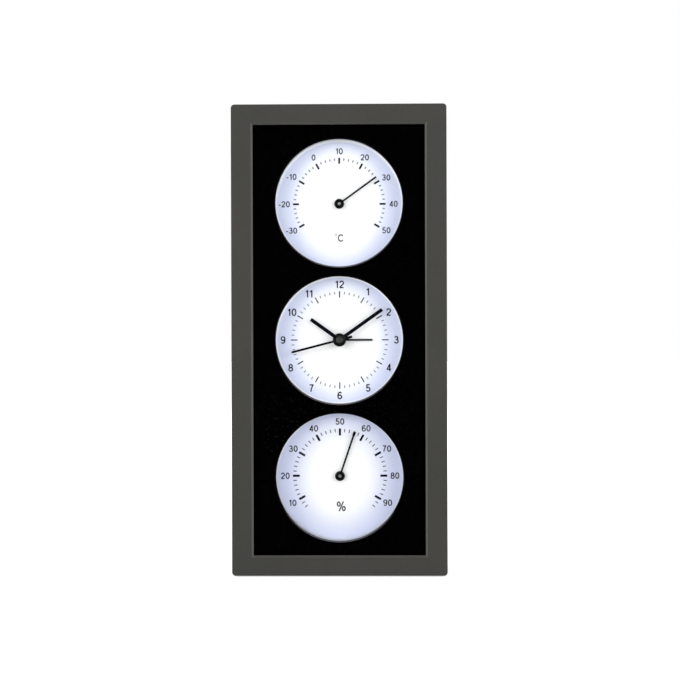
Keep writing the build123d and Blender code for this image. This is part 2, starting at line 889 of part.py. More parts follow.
def crossings(plane, radius):
    """Openings through the web of a large wheel, which leave it straight spokes."""
    with BuildSketch(plane) as holes:
        with PolarLocations(0, crossing_count):
            with BuildLine():
                swing = 180 / crossing_count * crossing_swing_share
                inner = radius * crossing_inner_share
                outer = radius * crossing_outer_share
                Polyline(
                    polar(inner, -swing),
                    polar(outer, -swing),
                    polar(outer, 0),
                    polar(outer, swing),
                    polar(inner, swing),
                    close=True,
                )
            make_face()
    return holes.sketch


pivot_front = plate_back - pivot_depth + end_gap
rotor_module = module_for(rotor_arbor_distance, rotor_leaves, step_teeth)
step_module = module_for(step_arbor_distance, step_leaves, second_teeth)
second_module = module_for(third_arbor_distance, second_leaves, third_teeth)
third_module = module_for(third_arbor_distance, third_leaves, centre_teeth)
hour_module = module_for(day_arbor_distance, day_leaves, hour_teeth)
alarm_module = module_for(alarm_knob_distance, alarm_knob_teeth, alarm_teeth)

# Rotor: a magnet and its pinion on one arbor
magnet_back = level(step_level) - gear_width - magnet_gap
with BuildPart() as rotor:
    phase = direction(rotor_arbor, step_arbor)
    extrude(ring(at(rotor_arbor, train_back), train_arbor_radius), train_back - pivot_front)
    extrude(ring(at(rotor_arbor, magnet_back), magnet_radius), magnet_length)
    rotor_plane = at(rotor_arbor, level(step_level))
    pinion = toothed(rotor_plane, rotor_leaves, rotor_module, phase, True)
    extrude(pinion, gear_width)
save(rotor, "rotor")

with BuildPart() as step_wheel:
    phase = meshing(
        rotor_leaves,
        direction(rotor_arbor, step_arbor),
        step_teeth,
        direction(rotor_arbor, step_arbor),
    )
    extrude(ring(at(step_arbor, train_back), train_arbor_radius), train_back - pivot_front)
    wheel = toothed(at(step_arbor, level(step_level)), step_teeth, rotor_module, phase)
    extrude(wheel, gear_width)
    phase = direction(step_arbor, centre_arbor)
    back = level(step_level) - gear_width
    pinion = toothed(at(step_arbor, back), step_leaves, step_module, phase, True)
    extrude(pinion, level_spacing)
save(step_wheel, "step_wheel")

# Second wheel: turns once a minute, its long shaft carries the second hand
second_hand_back = dial_face - first_hand_height - 3 * hand_spacing
with BuildPart() as second_wheel:
    phase = meshing(
        step_leaves,
        direction(step_arbor, centre_arbor),
        second_teeth,
        direction(step_arbor, centre_arbor),
    )
    shaft_front = second_hand_back - collet_height
    extrude(ring(at(centre_arbor, train_back), second_shaft_radius), train_back - shaft_front)
    wheel = toothed(at(centre_arbor, level(second_level)), second_teeth, step_module, phase)
    extrude(wheel, gear_width)
    holes = crossings(at(centre_arbor, level(second_level)), second_teeth * step_module / 2)
    extrude(holes, gear_width, mode=Mode.SUBTRACT)
    phase = direction(centre_arbor, third_arbor)
    back = level(second_level) - gear_width
    pinion = toothed(at(centre_arbor, back), second_leaves, second_module, phase, True)
    extrude(pinion, level_spacing)
save(second_wheel, "second_wheel")

with BuildPart() as third_wheel:
    towards = direction(centre_arbor, third_arbor)
    phase = meshing(second_leaves, towards, third_teeth, towards)
    extrude(ring(at(third_arbor, train_back), train_arbor_radius), train_back - pivot_front)
    wheel = toothed(at(third_arbor, level(third_level)), third_teeth, second_module, phase)
    extrude(wheel, gear_width)
    holes = crossings(at(third_arbor, level(third_level)), third_teeth * second_module / 2)
    extrude(holes, gear_width, mode=Mode.SUBTRACT)
    phase = direction(third_arbor, centre_arbor)
    back = level(third_level) - gear_width
    pinion = toothed(at(third_arbor, back), third_leaves, third_module, phase, True)
    extrude(pinion, level_spacing)
save(third_wheel, "third_wheel")

# Centre wheel: rides with friction on the cannon pinion, so that the hands can be set
with BuildPart() as centre_wheel:
    towards = direction(third_arbor, centre_arbor)
    phase = meshing(third_leaves, towards, centre_teeth, towards)
    wheel = toothed(at(centre_arbor, level(centre_level)), centre_teeth, third_module, phase)
    extrude(wheel, gear_width)
    holes = crossings(at(centre_arbor, level(centre_level)), centre_teeth * third_module / 2)
    extrude(holes, gear_width, mode=Mode.SUBTRACT)
    bore = ring(at(centre_arbor, level(centre_level)), minute_pipe_radius + running_gap)
    extrude(bore, gear_width, mode=Mode.SUBTRACT)
save(centre_wheel, "centre_wheel")

minute_hand_back = dial_face - first_hand_height - 2 * hand_spacing
with BuildPart() as cannon_pinion:
    cannon_phase = direction(centre_arbor, day_arbor)
    pipe_length = level(centre_level) - minute_hand_back + collet_height
    extrude(ring(at(centre_arbor, level(centre_level)), minute_pipe_radius), pipe_length)
    cannon_plane = at(centre_arbor, level(day_level))
    pinion = toothed(cannon_plane, cannon_leaves, day_module, cannon_phase, True)
    extrude(pinion, gear_width)
    bore = ring(at(centre_arbor, level(centre_level)), minute_pipe_bore)
    extrude(bore, pipe_length, mode=Mode.SUBTRACT)
save(cannon_pinion, "cannon_pinion")

with BuildPart() as day_wheel:
    day_phase = meshing(cannon_leaves, cannon_phase, day_teeth, direction(centre_arbor, day_arbor))
    extrude(ring(at(day_arbor, train_back), train_arbor_radius), train_back - pivot_front)
    wheel = toothed(at(day_arbor, level(day_level)), day_teeth, day_module, day_phase)
    extrude(wheel, gear_width)
    phase = direction(day_arbor, centre_arbor)
    back = level(day_level) - gear_width
    pinion = toothed(at(day_arbor, back), day_leaves, hour_module, phase, True)
    extrude(pinion, level_spacing)
save(day_wheel, "day_wheel")

hour_hand_back = dial_face - first_hand_height - hand_spacing
with BuildPart() as hour_wheel:
    towards = direction(day_arbor, centre_arbor)
    phase = meshing(day_leaves, towards, hour_teeth, towards)
    pipe_length = level(hour_level) - hour_hand_back + collet_height
    wheel = toothed(at(centre_arbor, level(hour_level)), hour_teeth, hour_module, phase)
    extrude(wheel, gear_width)
    extrude(ring(at(centre_arbor, level(hour_level)), hour_pipe_radius), pipe_length)
    bore = ring(at(centre_arbor, level(hour_level)), hour_pipe_bore)
    extrude(bore, pipe_length, mode=Mode.SUBTRACT)
save(hour_wheel, "hour_wheel")

alarm_hand_back = dial_face - first_hand_height
with BuildPart() as alarm_wheel:
    alarm_phase = 0
    pipe_length = level(alarm_level) - alarm_hand_back + collet_height
    wheel = toothed(at(centre_arbor, level(alarm_level)), alarm_teeth, alarm_module, alarm_phase)
    extrude(wheel, gear_width)
    extrude(ring(at(centre_arbor, level(alarm_level)), alarm_pipe_radius), pipe_length)
    bore = ring(at(centre_arbor, level(alarm_level)), alarm_pipe_bore)
    extrude(bore, pipe_length, mode=Mode.SUBTRACT)
save(alarm_wheel, "alarm_wheel")


def knob(place, gear_level, teeth, module, phase):
    """A setting knob behind the case, with its shaft and the gear that it turns."""
    knob_front = movement_back + knob_stand_off
    with BuildPart() as part:
        extrude(ring(at(place, knob_front), knob_shaft_radius), knob_front - pivot_front)
        extrude(toothed(at(place, level(gear_level)), teeth, module, phase), gear_width)
        grip = [
            polar(knob_radius - knob_flute_depth * (step // 2 % 2), step * 90 / knob_flutes)
            for step in range(4 * knob_flutes)
        ]
        with BuildSketch(at(place, knob_front + knob_height)):
            with BuildLine():
                Polyline(*grip, close=True)
            make_face()
        extrude(amount=knob_height)
    return part


time_knob_phase = meshing(
    day_teeth, day_phase, time_knob_teeth, direction(day_arbor, time_knob_arbor)
)
save(
    knob(time_knob_arbor, day_level, time_knob_teeth, day_module, time_knob_phase),
    "time_knob",
)
alarm_knob_phase = meshing(
    alarm_teeth, alarm_phase, alarm_knob_teeth, direction(centre_arbor, alarm_knob_arbor)
)
save(
    knob(alarm_knob_arbor, alarm_level, alarm_knob_teeth, alarm_module, alarm_knob_phase),
    "alarm_knob",
)


def hand(back, hub_radius, bore, angle, reach_share, width):
    """A stamped hand: a collet pressed on its pipe and a straight blade."""
    reach = reach_share * window_radius
    plane = facing(back, clock_centre)
    with BuildPart() as part:
        extrude(ring(plane, hub_radius), collet_height)
        extrude(blade(plane, angle, reach, width), hand_thickness)
        extrude(ring(plane, bore), collet_height, mode=Mode.SUBTRACT)
    return part


alarm_sizes = (alarm_hub_radius, alarm_pipe_radius, alarm_angle, alarm_reach_share, alarm_width)
save(hand(alarm_hand_back, *alarm_sizes), "alarm_hand")
hour_sizes = (hour_hub_radius, hour_pipe_radius, hour_angle, hour_reach_share, hour_width)
save(hand(hour_hand_back, *hour_sizes), "hour_hand")
minute_sizes = (
    minute_hub_radius,
    minute_pipe_radius,
    minute_angle,
    minute_reach_share,
    minute_width,
)
save(hand(minute_hand_back, *minute_sizes), "minute_hand")

# Second hand: a thin blade with a short tail, under a domed cap
with BuildPart() as second_hand:
    second_plane = facing(second_hand_back, clock_centre)
    extrude(ring(second_plane, cap_radius), cap_height)
    chamfer(second_hand.faces().sort_by(Axis.Y)[0].edges(), cap_bevel)
    reach = second_reach_share * window_radius
    extrude(blade(second_plane, second_angle, reach, second_width), hand_thickness)
    tail_reach = second_tail_reach_share * window_radius
    tail = blade(second_plane, second_angle + 180, tail_reach, second_tail_width)
    extrude(tail, hand_thickness)
    extrude(ring(second_plane, second_shaft_radius), collet_height, mode=Mode.SUBTRACT)
save(second_hand, "second_hand")

# Stepping motor: a flat stator round the magnet, and a coil whose core joins its legs
stator_middle = magnet_back - magnet_length / 2
stator_back = stator_middle + stator_thickness / 2
stator_reach = stator_reach_share * movement_size
stator_leg_top = stator_leg_top_share * movement_size
winding_height = winding_height_share * movement_size
leg_left = rotor_arbor[0] - stator_reach + stator_leg_width / 2
leg_right = rotor_arbor[0] + stator_reach - stator_leg_width / 2
stator_bottom = rotor_arbor[1] - stator_bar_width / 2
with BuildPart() as stator:
    with BuildSketch(facing(stator_back, clock_centre)):
        with Locations(rotor_arbor):
            Rectangle(2 * stator_reach, stator_bar_width)
        leg_height = stator_leg_top - stator_bottom
        with Locations((leg_left, stator_bottom + leg_height / 2)):
            Rectangle(stator_leg_width, leg_height)
        with Locations((leg_right, stator_bottom + leg_height / 2)):
            Rectangle(stator_leg_width, leg_height)
        with Locations(rotor_arbor):
            Circle(magnet_radius + magnet_gap, mode=Mode.SUBTRACT)
    extrude(amount=stator_thickness)
save(stator, "stator")

core_back = stator_back + core_thickness
coil_middle = core_back - core_thickness / 2
flange_left = leg_left + stator_leg_width / 2 + end_gap
flange_right = leg_right - stator_leg_width / 2 - end_gap
with BuildPart() as coil_core:
    with BuildSketch(facing(core_back, clock_centre)):
        with Locations(((leg_left + leg_right) / 2, winding_height)):
            Rectangle(leg_right - leg_left + stator_leg_width, core_width)
    extrude(amount=core_thickness)
save(coil_core, "coil_core")


def along(across):
    """A plane square to the coil, looking along it from the left."""
    return Plane(
        origin=(across, coil_middle, clock_centre + winding_height),
        x_dir=(0, 1, 0),
        z_dir=(1, 0, 0),
    )


with BuildPart() as coil_bobbin:
    bobbin_length = flange_right - flange_left
    with BuildSketch(along(flange_left)):
        Rectangle(core_thickness + 2 * bobbin_wall, core_width + 2 * bobbin_wall)
    extrude(amount=bobbin_length)
    for start in (flange_left, flange_right - bobbin_flange_thickness):
        with BuildSketch(along(start)):
            Circle(bobbin_flange_radius)
        extrude(amount=bobbin_flange_thickness)
    with BuildSketch(along(flange_left)):
        Rectangle(core_thickness, core_width)
    extrude(amount=bobbin_length, mode=Mode.SUBTRACT)
save(coil_bobbin, "coil_bobbin")

with BuildPart() as coil_winding:
    with BuildSketch(along(flange_left + bobbin_flange_thickness)):
        Circle(winding_radius)
        Rectangle(
            core_thickness + 2 * bobbin_wall,
            core_width + 2 * bobbin_wall,
            mode=Mode.SUBTRACT,
        )
    extrude(amount=bobbin_length - 2 * bobbin_flange_thickness)
save(coil_winding, "coil_winding")

# Circuit: a board on two posts, with its crystal can and covered chip, and the buzzer
board_back = board_front + board_thickness
with BuildPart() as circuit_board:
    with BuildSketch(facing(board_back, clock_centre)):
        with Locations((board_across, board_up)):
            Rectangle(board_width, board_length)
        with Locations(*board_post_places):
            Rectangle(stake_width + stake_gap, stake_width + stake_gap, mode=Mode.SUBTRACT)
    extrude(amount=board_thickness)
save(circuit_board, "circuit_board")

with BuildPart() as quartz_crystal:
    can_bottom = clock_centre + board_up - crystal_length / 2
    can_plane = Plane.XY.offset(can_bottom)
    with BuildSketch(can_plane):
        with Locations((board_across - crystal_offset, board_back + crystal_radius)):
            Circle(crystal_radius)
    extrude(amount=crystal_length)
save(quartz_crystal, "quartz_crystal")

with BuildPart() as chip:
    chip_across = board_across + chip_offset
    with BuildSketch(facing(board_back + chip_height, clock_centre + board_up, chip_across)):
        Rectangle(chip_size, chip_size)
    extrude(amount=chip_height)
    chamfer(chip.faces().sort_by(Axis.Y)[-1].edges(), chip_height / 2)
save(chip, "chip")

with BuildPart() as buzzer:
    extrude(ring(at(buzzer_place, case_inside_back), buzzer_radius), buzzer_height)
save(buzzer, "buzzer")

# Battery and its two contacts, across the bottom of the movement
cell_depth = plate_back + cell_behind_plate + cell_radius
cell_up_at = clock_centre + cell_up
contact_face = half_size - case_wall - contact_thickness
cell_end = contact_face - contact_thickness * 2 - cell_nub_length
cell_start = cell_end - cell_length


def bay_plane(across):
    """A plane square to the battery, looking along it from the left."""
    return Plane(origin=(across, cell_depth, cell_up_at), x_dir=(0, 1, 0), z_dir=(1, 0, 0))


with BuildPart() as battery:
    with BuildSketch(bay_plane(cell_start)):
        Circle(cell_radius)
    extrude(amount=cell_length)
    with BuildSketch(bay_plane(cell_end)):
        Circle(cell_nub_radius)
    extrude(amount=cell_nub_length)
save(battery, "battery")

with BuildPart() as battery_contact:
    with BuildSketch(bay_plane(contact_face)):
        Rectangle(contact_height, contact_width)
    extrude(amount=contact_thickness)
    with BuildSketch(bay_plane(contact_face)):
        Circle(contact_bump_radius)
    with BuildSketch(bay_plane(contact_face - 2 * contact_thickness)):
        Circle(contact_bump_tip_radius)
    loft()
save(battery_contact, "battery_contact")

# The negative contact is a strip bent into a shallow bow that presses on the cell
with BuildPart() as battery_spring:
    bow_plane = Plane(
        origin=(-half_size + case_wall, cell_depth, cell_up_at - leaf_width / 2),
        x_dir=(1, 0, 0),
        z_dir=(0, 0, 1),
    )
    bow = cell_start + half_size - case_wall - contact_thickness
    with BuildSketch(bow_plane):
        with BuildLine():
            Polyline(
                (0, -contact_height / 2),
                (0, contact_height / 2),
                (contact_thickness, contact_height / 2),
                (contact_thickness, leaf_lift),
                (bow + contact_thickness, contact_thickness),
                (bow + contact_thickness, -contact_thickness),
                (contact_thickness, -leaf_lift),
                (contact_thickness, -contact_height / 2),
                close=True,
            )
        make_face()
        with BuildLine():
            Polyline(
                (contact_thickness, leaf_lift - contact_thickness * 2),
                (bow, 0),
                (contact_thickness, contact_thickness * 2 - leaf_lift),
                close=True,
            )
        make_face(mode=Mode.SUBTRACT)
    extrude(amount=leaf_width)
save(battery_spring, "battery_spring")

# Alarm switch: slides in its slot, held by a flange inside the case
with BuildPart() as alarm_switch:
    switch_plane_at = clock_centre + switch_up
    cap_back = movement_back + switch_play + switch_cap_height
    with BuildSketch(facing(cap_back, switch_plane_at, switch_across)):
        Rectangle(switch_cap_length, switch_cap_width)
    extrude(amount=switch_cap_height)
    with BuildSketch(facing(cap_back, switch_plane_at, switch_across)):
        with GridLocations(2 * switch_rib_width, 0, switch_rib_count, 1):
            Rectangle(switch_rib_width, switch_cap_width)
    extrude(amount=switch_rib_width, mode=Mode.SUBTRACT)
    with BuildSketch(facing(movement_back + switch_play, switch_plane_at, switch_across)):
        Rectangle(switch_neck_length, switch_slot_height - 2 * switch_slot_clearance)
    extrude(amount=movement_back + switch_play - flange_back)
    with BuildSketch(facing(flange_back, switch_plane_at, switch_across)):
        Rectangle(switch_flange_length, switch_flange_width)
    extrude(amount=switch_flange_thickness)
save(alarm_switch, "alarm_switch")
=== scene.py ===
"""Studio picture of a desk thermometer, alarm clock and hygrometer in one dark frame.

Metres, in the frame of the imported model: X to the right, Y to the back, Z up.
Angles of hands and scales are in degrees, clockwise from the top as the viewer sees them.
"""

from math import cos, pi, radians, sin, sqrt

import bmesh
import bpy
from mathutils import Matrix, Vector


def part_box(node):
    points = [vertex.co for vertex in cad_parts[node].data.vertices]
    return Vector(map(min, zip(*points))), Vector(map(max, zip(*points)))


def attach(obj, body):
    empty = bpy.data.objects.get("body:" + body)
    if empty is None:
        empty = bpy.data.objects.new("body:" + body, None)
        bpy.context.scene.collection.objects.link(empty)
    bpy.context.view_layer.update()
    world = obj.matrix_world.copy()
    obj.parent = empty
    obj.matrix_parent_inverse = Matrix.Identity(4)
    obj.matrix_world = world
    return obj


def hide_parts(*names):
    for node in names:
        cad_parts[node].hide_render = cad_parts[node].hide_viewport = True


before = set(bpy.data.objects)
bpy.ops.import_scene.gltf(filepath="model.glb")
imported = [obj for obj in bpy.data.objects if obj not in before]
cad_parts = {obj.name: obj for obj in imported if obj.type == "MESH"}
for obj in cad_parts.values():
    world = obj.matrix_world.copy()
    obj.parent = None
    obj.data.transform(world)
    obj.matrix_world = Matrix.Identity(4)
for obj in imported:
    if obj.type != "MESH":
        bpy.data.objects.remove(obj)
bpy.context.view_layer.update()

MM = 0.001

# The photograph's camera, fitted to the frame's corners and to the three dials
IMAGE_WIDTH = 680
FOCAL_PIXELS = 1697.8
SENSOR_WIDTH = 36.0
CAMERA_PLACE = (15.4 * MM, -761.9 * MM, 106.0 * MM)
CAMERA_YAW = 1.157
CAMERA_PITCH = -0.166
CAMERA_ROLL = -0.166

# Lamps: place and size in metres, power in watts
LAMPS = {
    "key_lamp": ((-0.75, -1.3, 0.3), (0.9, 0.9), 11.1),
    "side_lamp": ((0.8, -1.25, 0.28), (0.9, 0.9), 9.8),
    "top_lamp": ((0.0, -0.35, 1.5), (1.0, 1.0), 3.2),
    "left_edge_lamp": ((-0.85, -0.5, 0.55), (0.3, 0.5), 1.3),
    "right_edge_lamp": ((0.85, -0.5, 0.55), (0.3, 0.5), 1.3),
    "rear_left_lamp": ((-0.8, 1.2, 0.75), (0.8, 0.8), 9),
    "rear_right_lamp": ((0.8, 1.2, 0.6), (0.8, 0.8), 6),
}
SURROUND_LIGHT = 0.2
FLOOR_RINGS = (0.3, 0.8, 2.0, 6.0)
FLOOR_SEGMENTS = 48

# Dial paint with painted shade and a painted highlight ring: colours, and distances from the dial's
# centre in millimetres
INSTRUMENTS = ("thermometer", "clock", "hygrometer")
DIAL_WHITE = (0.95, 0.955, 0.955)
# Painted shade: the white turns bluish grey towards the rim, where the recess shades the dial
RIM_SHADE_WHITE = (0.685, 0.725, 0.9)
# Deeper painted shade, for the hygrometer
DEEP_RIM_SHADE_WHITE = (0.62, 0.655, 0.83)
# Painted highlight ring at the rim: lighter above and darker below, as painted light and shade
UPPER_RING_HIGHLIGHT = (0.96, 0.965, 0.97)
LOWER_RING_SHADED_HIGHLIGHT = (0.84, 0.86, 0.94)
DEEP_LOWER_RING_SHADED_HIGHLIGHT = (0.64, 0.66, 0.76)
SHADE_START = 14.5
DEEP_SHADE_START = 9.5
SHADE_END = 23.5
SHADE_OVAL = (1, 1, 0.8)
# Where the painted highlight ring lies, and the height over which its painted light grows
RING_HIGHLIGHT_START = 27.4
RING_HIGHLIGHT_END = 27.8
RING_LIGHT_REACH = 26.0

# Printing and moulded marks
PRINT_HEIGHT = 0.03 * MM
MARK_HEIGHT = 0.2 * MM
MARK_WIDTH = 0.32 * MM
NUMERAL_WEIGHT = 0.17
GLYPH_SPACING_SHARE = 0.14
MITRE_LIMIT = 0.55
CLOSED_WITHIN = 1e-6

# Scales: degrees, and each tick's start, end and width in millimetres
TICK_STEP = 6
TICKS_PER_NUMERAL = 5
NUMERAL_STEP = TICK_STEP * TICKS_PER_NUMERAL
SCALE_START = -120
SCALE_TICKS = 41
THERMOMETER_LOWEST = -30
HYGROMETER_LOWEST = 10
UNITS_PER_TICK = 2
THERMOMETER_TICKS = {"long": (17.9, 20.6, 0.85), "short": (19.3, 20.4, 0.6)}
CLOCK_TICKS = {"long": (18.8, 21.7, 0.5), "short": (20.3, 21.5, 0.42)}
HYGROMETER_TICKS = {"long": (17.9, 21.0, 1.0), "short": (19.4, 20.9, 0.42)}

# Numerals: size, and half the width and half the height of the oval on which they stand
THERMOMETER_NUMERALS = (2.6 * MM, 24.1 * MM, 23.5 * MM)
CLOCK_NUMERALS = (3.25 * MM, 25.2 * MM, 24.7 * MM)
HYGROMETER_NUMERALS = (2.75 * MM, 24.0 * MM, 24.1 * MM)
# Numerals that leave the oval, as in the photograph: the hours of two digits, the 11, the
# hygrometer's at the sides and below, the two beside each top, and the negative ones
TWO_DIGIT_REACH = 24.5 * MM
ELEVEN_TURN = 3.6
SIDE_REACH = 24.4 * MM
SIDE_FROM = 75
THERMOMETER_TOP_SHARE = 0.94
HYGROMETER_TOP_SHARE = 0.97
MINUS_SHIFT = 0.4 * MM
MINUS_TEN_LIFT = 0.4 * MM

# Unit signs: size, place from the dial's centre, and weight as a share of the size
CELSIUS_SIGN = (3.2 * MM, 0.6 * MM, -15.1 * MM, 0.165)
PERCENT_SIGN = (4.3 * MM, 0.5 * MM, -13.6 * MM, 0.13)
DEGREE_RADIUS = 0.42 * MM
DEGREE_SHIFT = -1.6 * MM
DEGREE_LIFT = 1.5 * MM
DEGREE_WEIGHT = 0.22 * MM

# Hands and pointers: angle in degrees, then start, reach and width in millimetres
BLADES = {
    "alarm_hand": (90.0, 1.2, 14.6, 0.82),
    "hour_hand": (305.7, 1.2, 15.7, 1.62),
    "minute_hand": (54.6, 1.2, 23.2, 1.55),
    "second_hand": (255.5, 0.4, 21.9, 0.95),
    "thermometer_pointer": (54.1, 0.7, 20.2, 0.77),
    "hygrometer_pointer": (18.7, 0.7, 20.7, 0.82),
}
COLLET_RADII = {"alarm": 2.8, "hour": 2.5, "minute": 2.2}
# Length and width of the second hand's tail and of the hygrometer pointer's broader tip
SECOND_TAIL = (5.8, 1.15)
HYGROMETER_TIP = (1.9, 1.2)
BLADE_THICKNESS = 0.3 * MM
BLADE_EDGE = 0.07 * MM
TIP_STEP = 0.01 * MM

# Hubs: (radius, rise) pairs in millimetres
SECOND_CAP = [(0, 0.0), (2.95, 0.0), (2.95, 0.4), (2.91, 0.58), (2.78, 0.76), (2.56, 0.92)]
SECOND_CAP += [(2.3, 1.02), (2.05, 1.07), (1.8, 1.07), (1.64, 1.02), (1.55, 0.92)]
SECOND_BOSS = [(1.48, 0.98), (1.25, 1.08), (0.9, 1.17), (0.45, 1.23), (0.0, 1.25)]
POINTER_HUB = [(2.2, 0.0), (2.2, 0.5), (2.1, 0.7), (1.85, 0.82), (1.0, 0.86), (0.72, 0.8)]
POINTER_HUB += [(0.66, 0.6), (0.66, 0.0), (2.2, 0.0)]

# Cover screws. The dome's pairs are shares of the head's radius and height. The heads are
# turned a little, so that no edge of theirs runs through a corner of the cross.
SCREW_HEAD_RADIUS = 2.3 * MM
SCREW_HEAD_HEIGHT = 1.2 * MM
SCREW_HEAD_TURN = 4
SCREW_SEGMENTS = 40
SCREW_HEAD_DOME = ((1, 0), (1, 0.3), (0.96, 0.52), (0.85, 0.75), (0.62, 0.9), (0.3, 0.97), (0, 1))
SCREW_TIP_RADIUS = 0.5 * MM
SCREW_TIP_LENGTH = 0.2 * MM
SCREW_THREAD_START = 0.6 * MM
SCREW_SHANK_RADIUS = 1.1 * MM
SCREW_ROOT_SHARE = 0.78
SCREW_THREAD_SPACING = 0.9 * MM
SCREW_CROSS_REACH = 1.25 * MM
SCREW_CROSS_WIDTH = 0.55 * MM
SCREW_CROSS_DEPTH = 0.75 * MM

# Knobs: (radius, rise) pairs in millimetres, and flutes round the grip's outside
KNOB_HEIGHT = 4.4 * MM
KNOB_SEGMENTS = 192
KNOB_FLUTES = 12
KNOB_FLUTE_DEPTH = 0.22 * MM
KNOB_FLUTED_FROM = 4.4 * MM
KNOB_FLUTE_TURN = 26.25
KNOB_PROFILE = [(0, 0.0), (4.86, 0.0), (4.95, 0.12), (4.95, 4.2), (4.86, 4.6), (4.62, 4.88)]
KNOB_PROFILE += [(4.3, 4.96), (3.95, 4.94), (3.7, 4.8), (3.45, 4.48), (3.2, 4.43), (1.2, 4.43)]
KNOB_PROFILE += [(1.0, 4.5), (0.8, 4.66), (0.5, 4.74), (0.0, 4.76)]

# Cell: its jacket, its plus nub and its signs, and the inset of its band in millimetres
CELL_FILM = 0.12 * MM
CELL_SEGMENTS = 96
CELL_NUB_RADIUS = 2.7 * MM
CELL_NUB_LENGTH = 1.3 * MM
CELL_SIGN_SIZE = 5 * MM
CELL_SIGN_INSET = 5 * MM
CELL_SIGN_WEIGHT = 0.15
CELL_BAND_INSET = 11.0

# Marks on the movement's back
ALARM_SWITCH_TRAVEL = 3 * MM
SIGN_LIFT = 8.4 * MM
SIGN_SIZE = 1.55 * MM
ARROW_RADIUS = 6.5 * MM
ARROW_SPAN = (222, 318)
ARROW_BARB = (1.1 * MM, 0.75 * MM)
SWITCH_LABEL_SIZE = 1.5 * MM
SWITCH_LABEL_LIFT = 1.6 * MM
SWITCH_LABEL_INSET = 1.2 * MM
SWITCH_LABEL_WEIGHT = 0.16


def middle(node):
    """The centre of a node's box."""
    low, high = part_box(node)
    return (low + high) / 2


centres = {name: middle(f"{name}_dial") for name in INSTRUMENTS}
dial_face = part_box("clock_dial")[0].y
case_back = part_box("movement_rear_case")[1].y
opening_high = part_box("window_glass")[1]


# Materials


def material_parts(name):
    """A new material, its node tree and its Principled shader."""
    material = bpy.data.materials.new(name)
    material.use_nodes = True
    tree = material.node_tree
    return material, tree, tree.nodes["Principled BSDF"]


def place_vector(tree, stretch=(1, 1, 1)):
    """Object coordinates in millimetres, stretched where a grain runs one way."""
    coordinates = tree.nodes.new("ShaderNodeTexCoord")
    mapping = tree.nodes.new("ShaderNodeMapping")
    mapping.inputs["Scale"].default_value = [1000 * share for share in stretch]
    tree.links.new(coordinates.outputs["Object"], mapping.inputs["Vector"])
    return mapping.outputs["Vector"]


def separate(tree, vector):
    """The X, Y and Z outputs of a vector."""
    parts = tree.nodes.new("ShaderNodeSeparateXYZ")
    tree.links.new(vector, parts.inputs["Vector"])
    return parts.outputs


def calculate(tree, operation, *values):
    """A math node on sockets or numbers."""
    node = tree.nodes.new("ShaderNodeMath")
    node.operation = operation
    for index, value in enumerate(values):
        if isinstance(value, bpy.types.NodeSocket):
            tree.links.new(value, node.inputs[index])
        else:
            node.inputs[index].default_value = value
    return node.outputs["Value"]


def distance_from(tree, vector, centre, scale=(1, 1, 1)):
    """The distance in millimetres from a place, with each axis scaled."""
    offset = tree.nodes.new("ShaderNodeVectorMath")
    offset.operation = "SUBTRACT"
    tree.links.new(vector, offset.inputs[0])
    offset.inputs[1].default_value = [value / MM for value in centre]
    scaled = tree.nodes.new("ShaderNodeVectorMath")
    scaled.operation = "MULTIPLY"
    tree.links.new(offset.outputs["Vector"], scaled.inputs[0])
    scaled.inputs[1].default_value = scale
    length = tree.nodes.new("ShaderNodeVectorMath")
    length.operation = "LENGTH"
    tree.links.new(scaled.outputs["Vector"], length.inputs[0])
    return length.outputs["Value"]


def noise(tree, vector, size, detail=3.0):
    """Noise whose lumps have a size in millimetres."""
    texture = tree.nodes.new("ShaderNodeTexNoise")
    texture.inputs["Scale"].default_value = 1 / size
    texture.inputs["Detail"].default_value = detail
    texture.inputs["Roughness"].default_value = 0.55
    tree.links.new(vector, texture.inputs["Vector"])
    return texture.outputs["Fac"]


def spread(tree, value, low, high, start=0.3, end=0.7, smooth=False):
    """Maps a value from one span to another, and stops at the ends."""
    ranged = tree.nodes.new("ShaderNodeMapRange")
    if smooth:
        ranged.interpolation_type = "SMOOTHSTEP"
    ranged.inputs["From Min"].default_value = start
    ranged.inputs["From Max"].default_value = end
    ranged.inputs["To Min"].default_value = low
    ranged.inputs["To Max"].default_value = high
    tree.links.new(value, ranged.inputs["Value"])
    return ranged.outputs["Result"]


def blend_colours(tree, share, first, second):
    """Mixes two colours, each a socket or a triple, by a share from 0 to 1."""
    mix = tree.nodes.new("ShaderNodeMix")
    mix.data_type = "RGBA"
    tree.links.new(share, mix.inputs["Factor"])
    for name, colour in (("A", first), ("B", second)):
        target = [s for s in mix.inputs if s.name == name and s.type == "RGBA"][0]
        if isinstance(colour, bpy.types.NodeSocket):
            tree.links.new(colour, target)
        else:
            target.default_value = (*colour, 1)
    return [s for s in mix.outputs if s.type == "RGBA"][0]


def bump(tree, height, depth, normal=None):
    """A bump whose depth is in millimetres."""
    node = tree.nodes.new("ShaderNodeBump")
    node.inputs["Distance"].default_value = depth * MM
    tree.links.new(height, node.inputs["Height"])
    if normal:
        tree.links.new(normal, node.inputs["Normal"])
    return node.outputs["Normal"]


def soft_edges(tree, radius):
    """Normals rounded over sharp edges by a radius in millimetres."""
    node = tree.nodes.new("ShaderNodeBevel")
    node.samples = 4
    node.inputs["Radius"].default_value = radius * MM
    return node.outputs["Normal"]


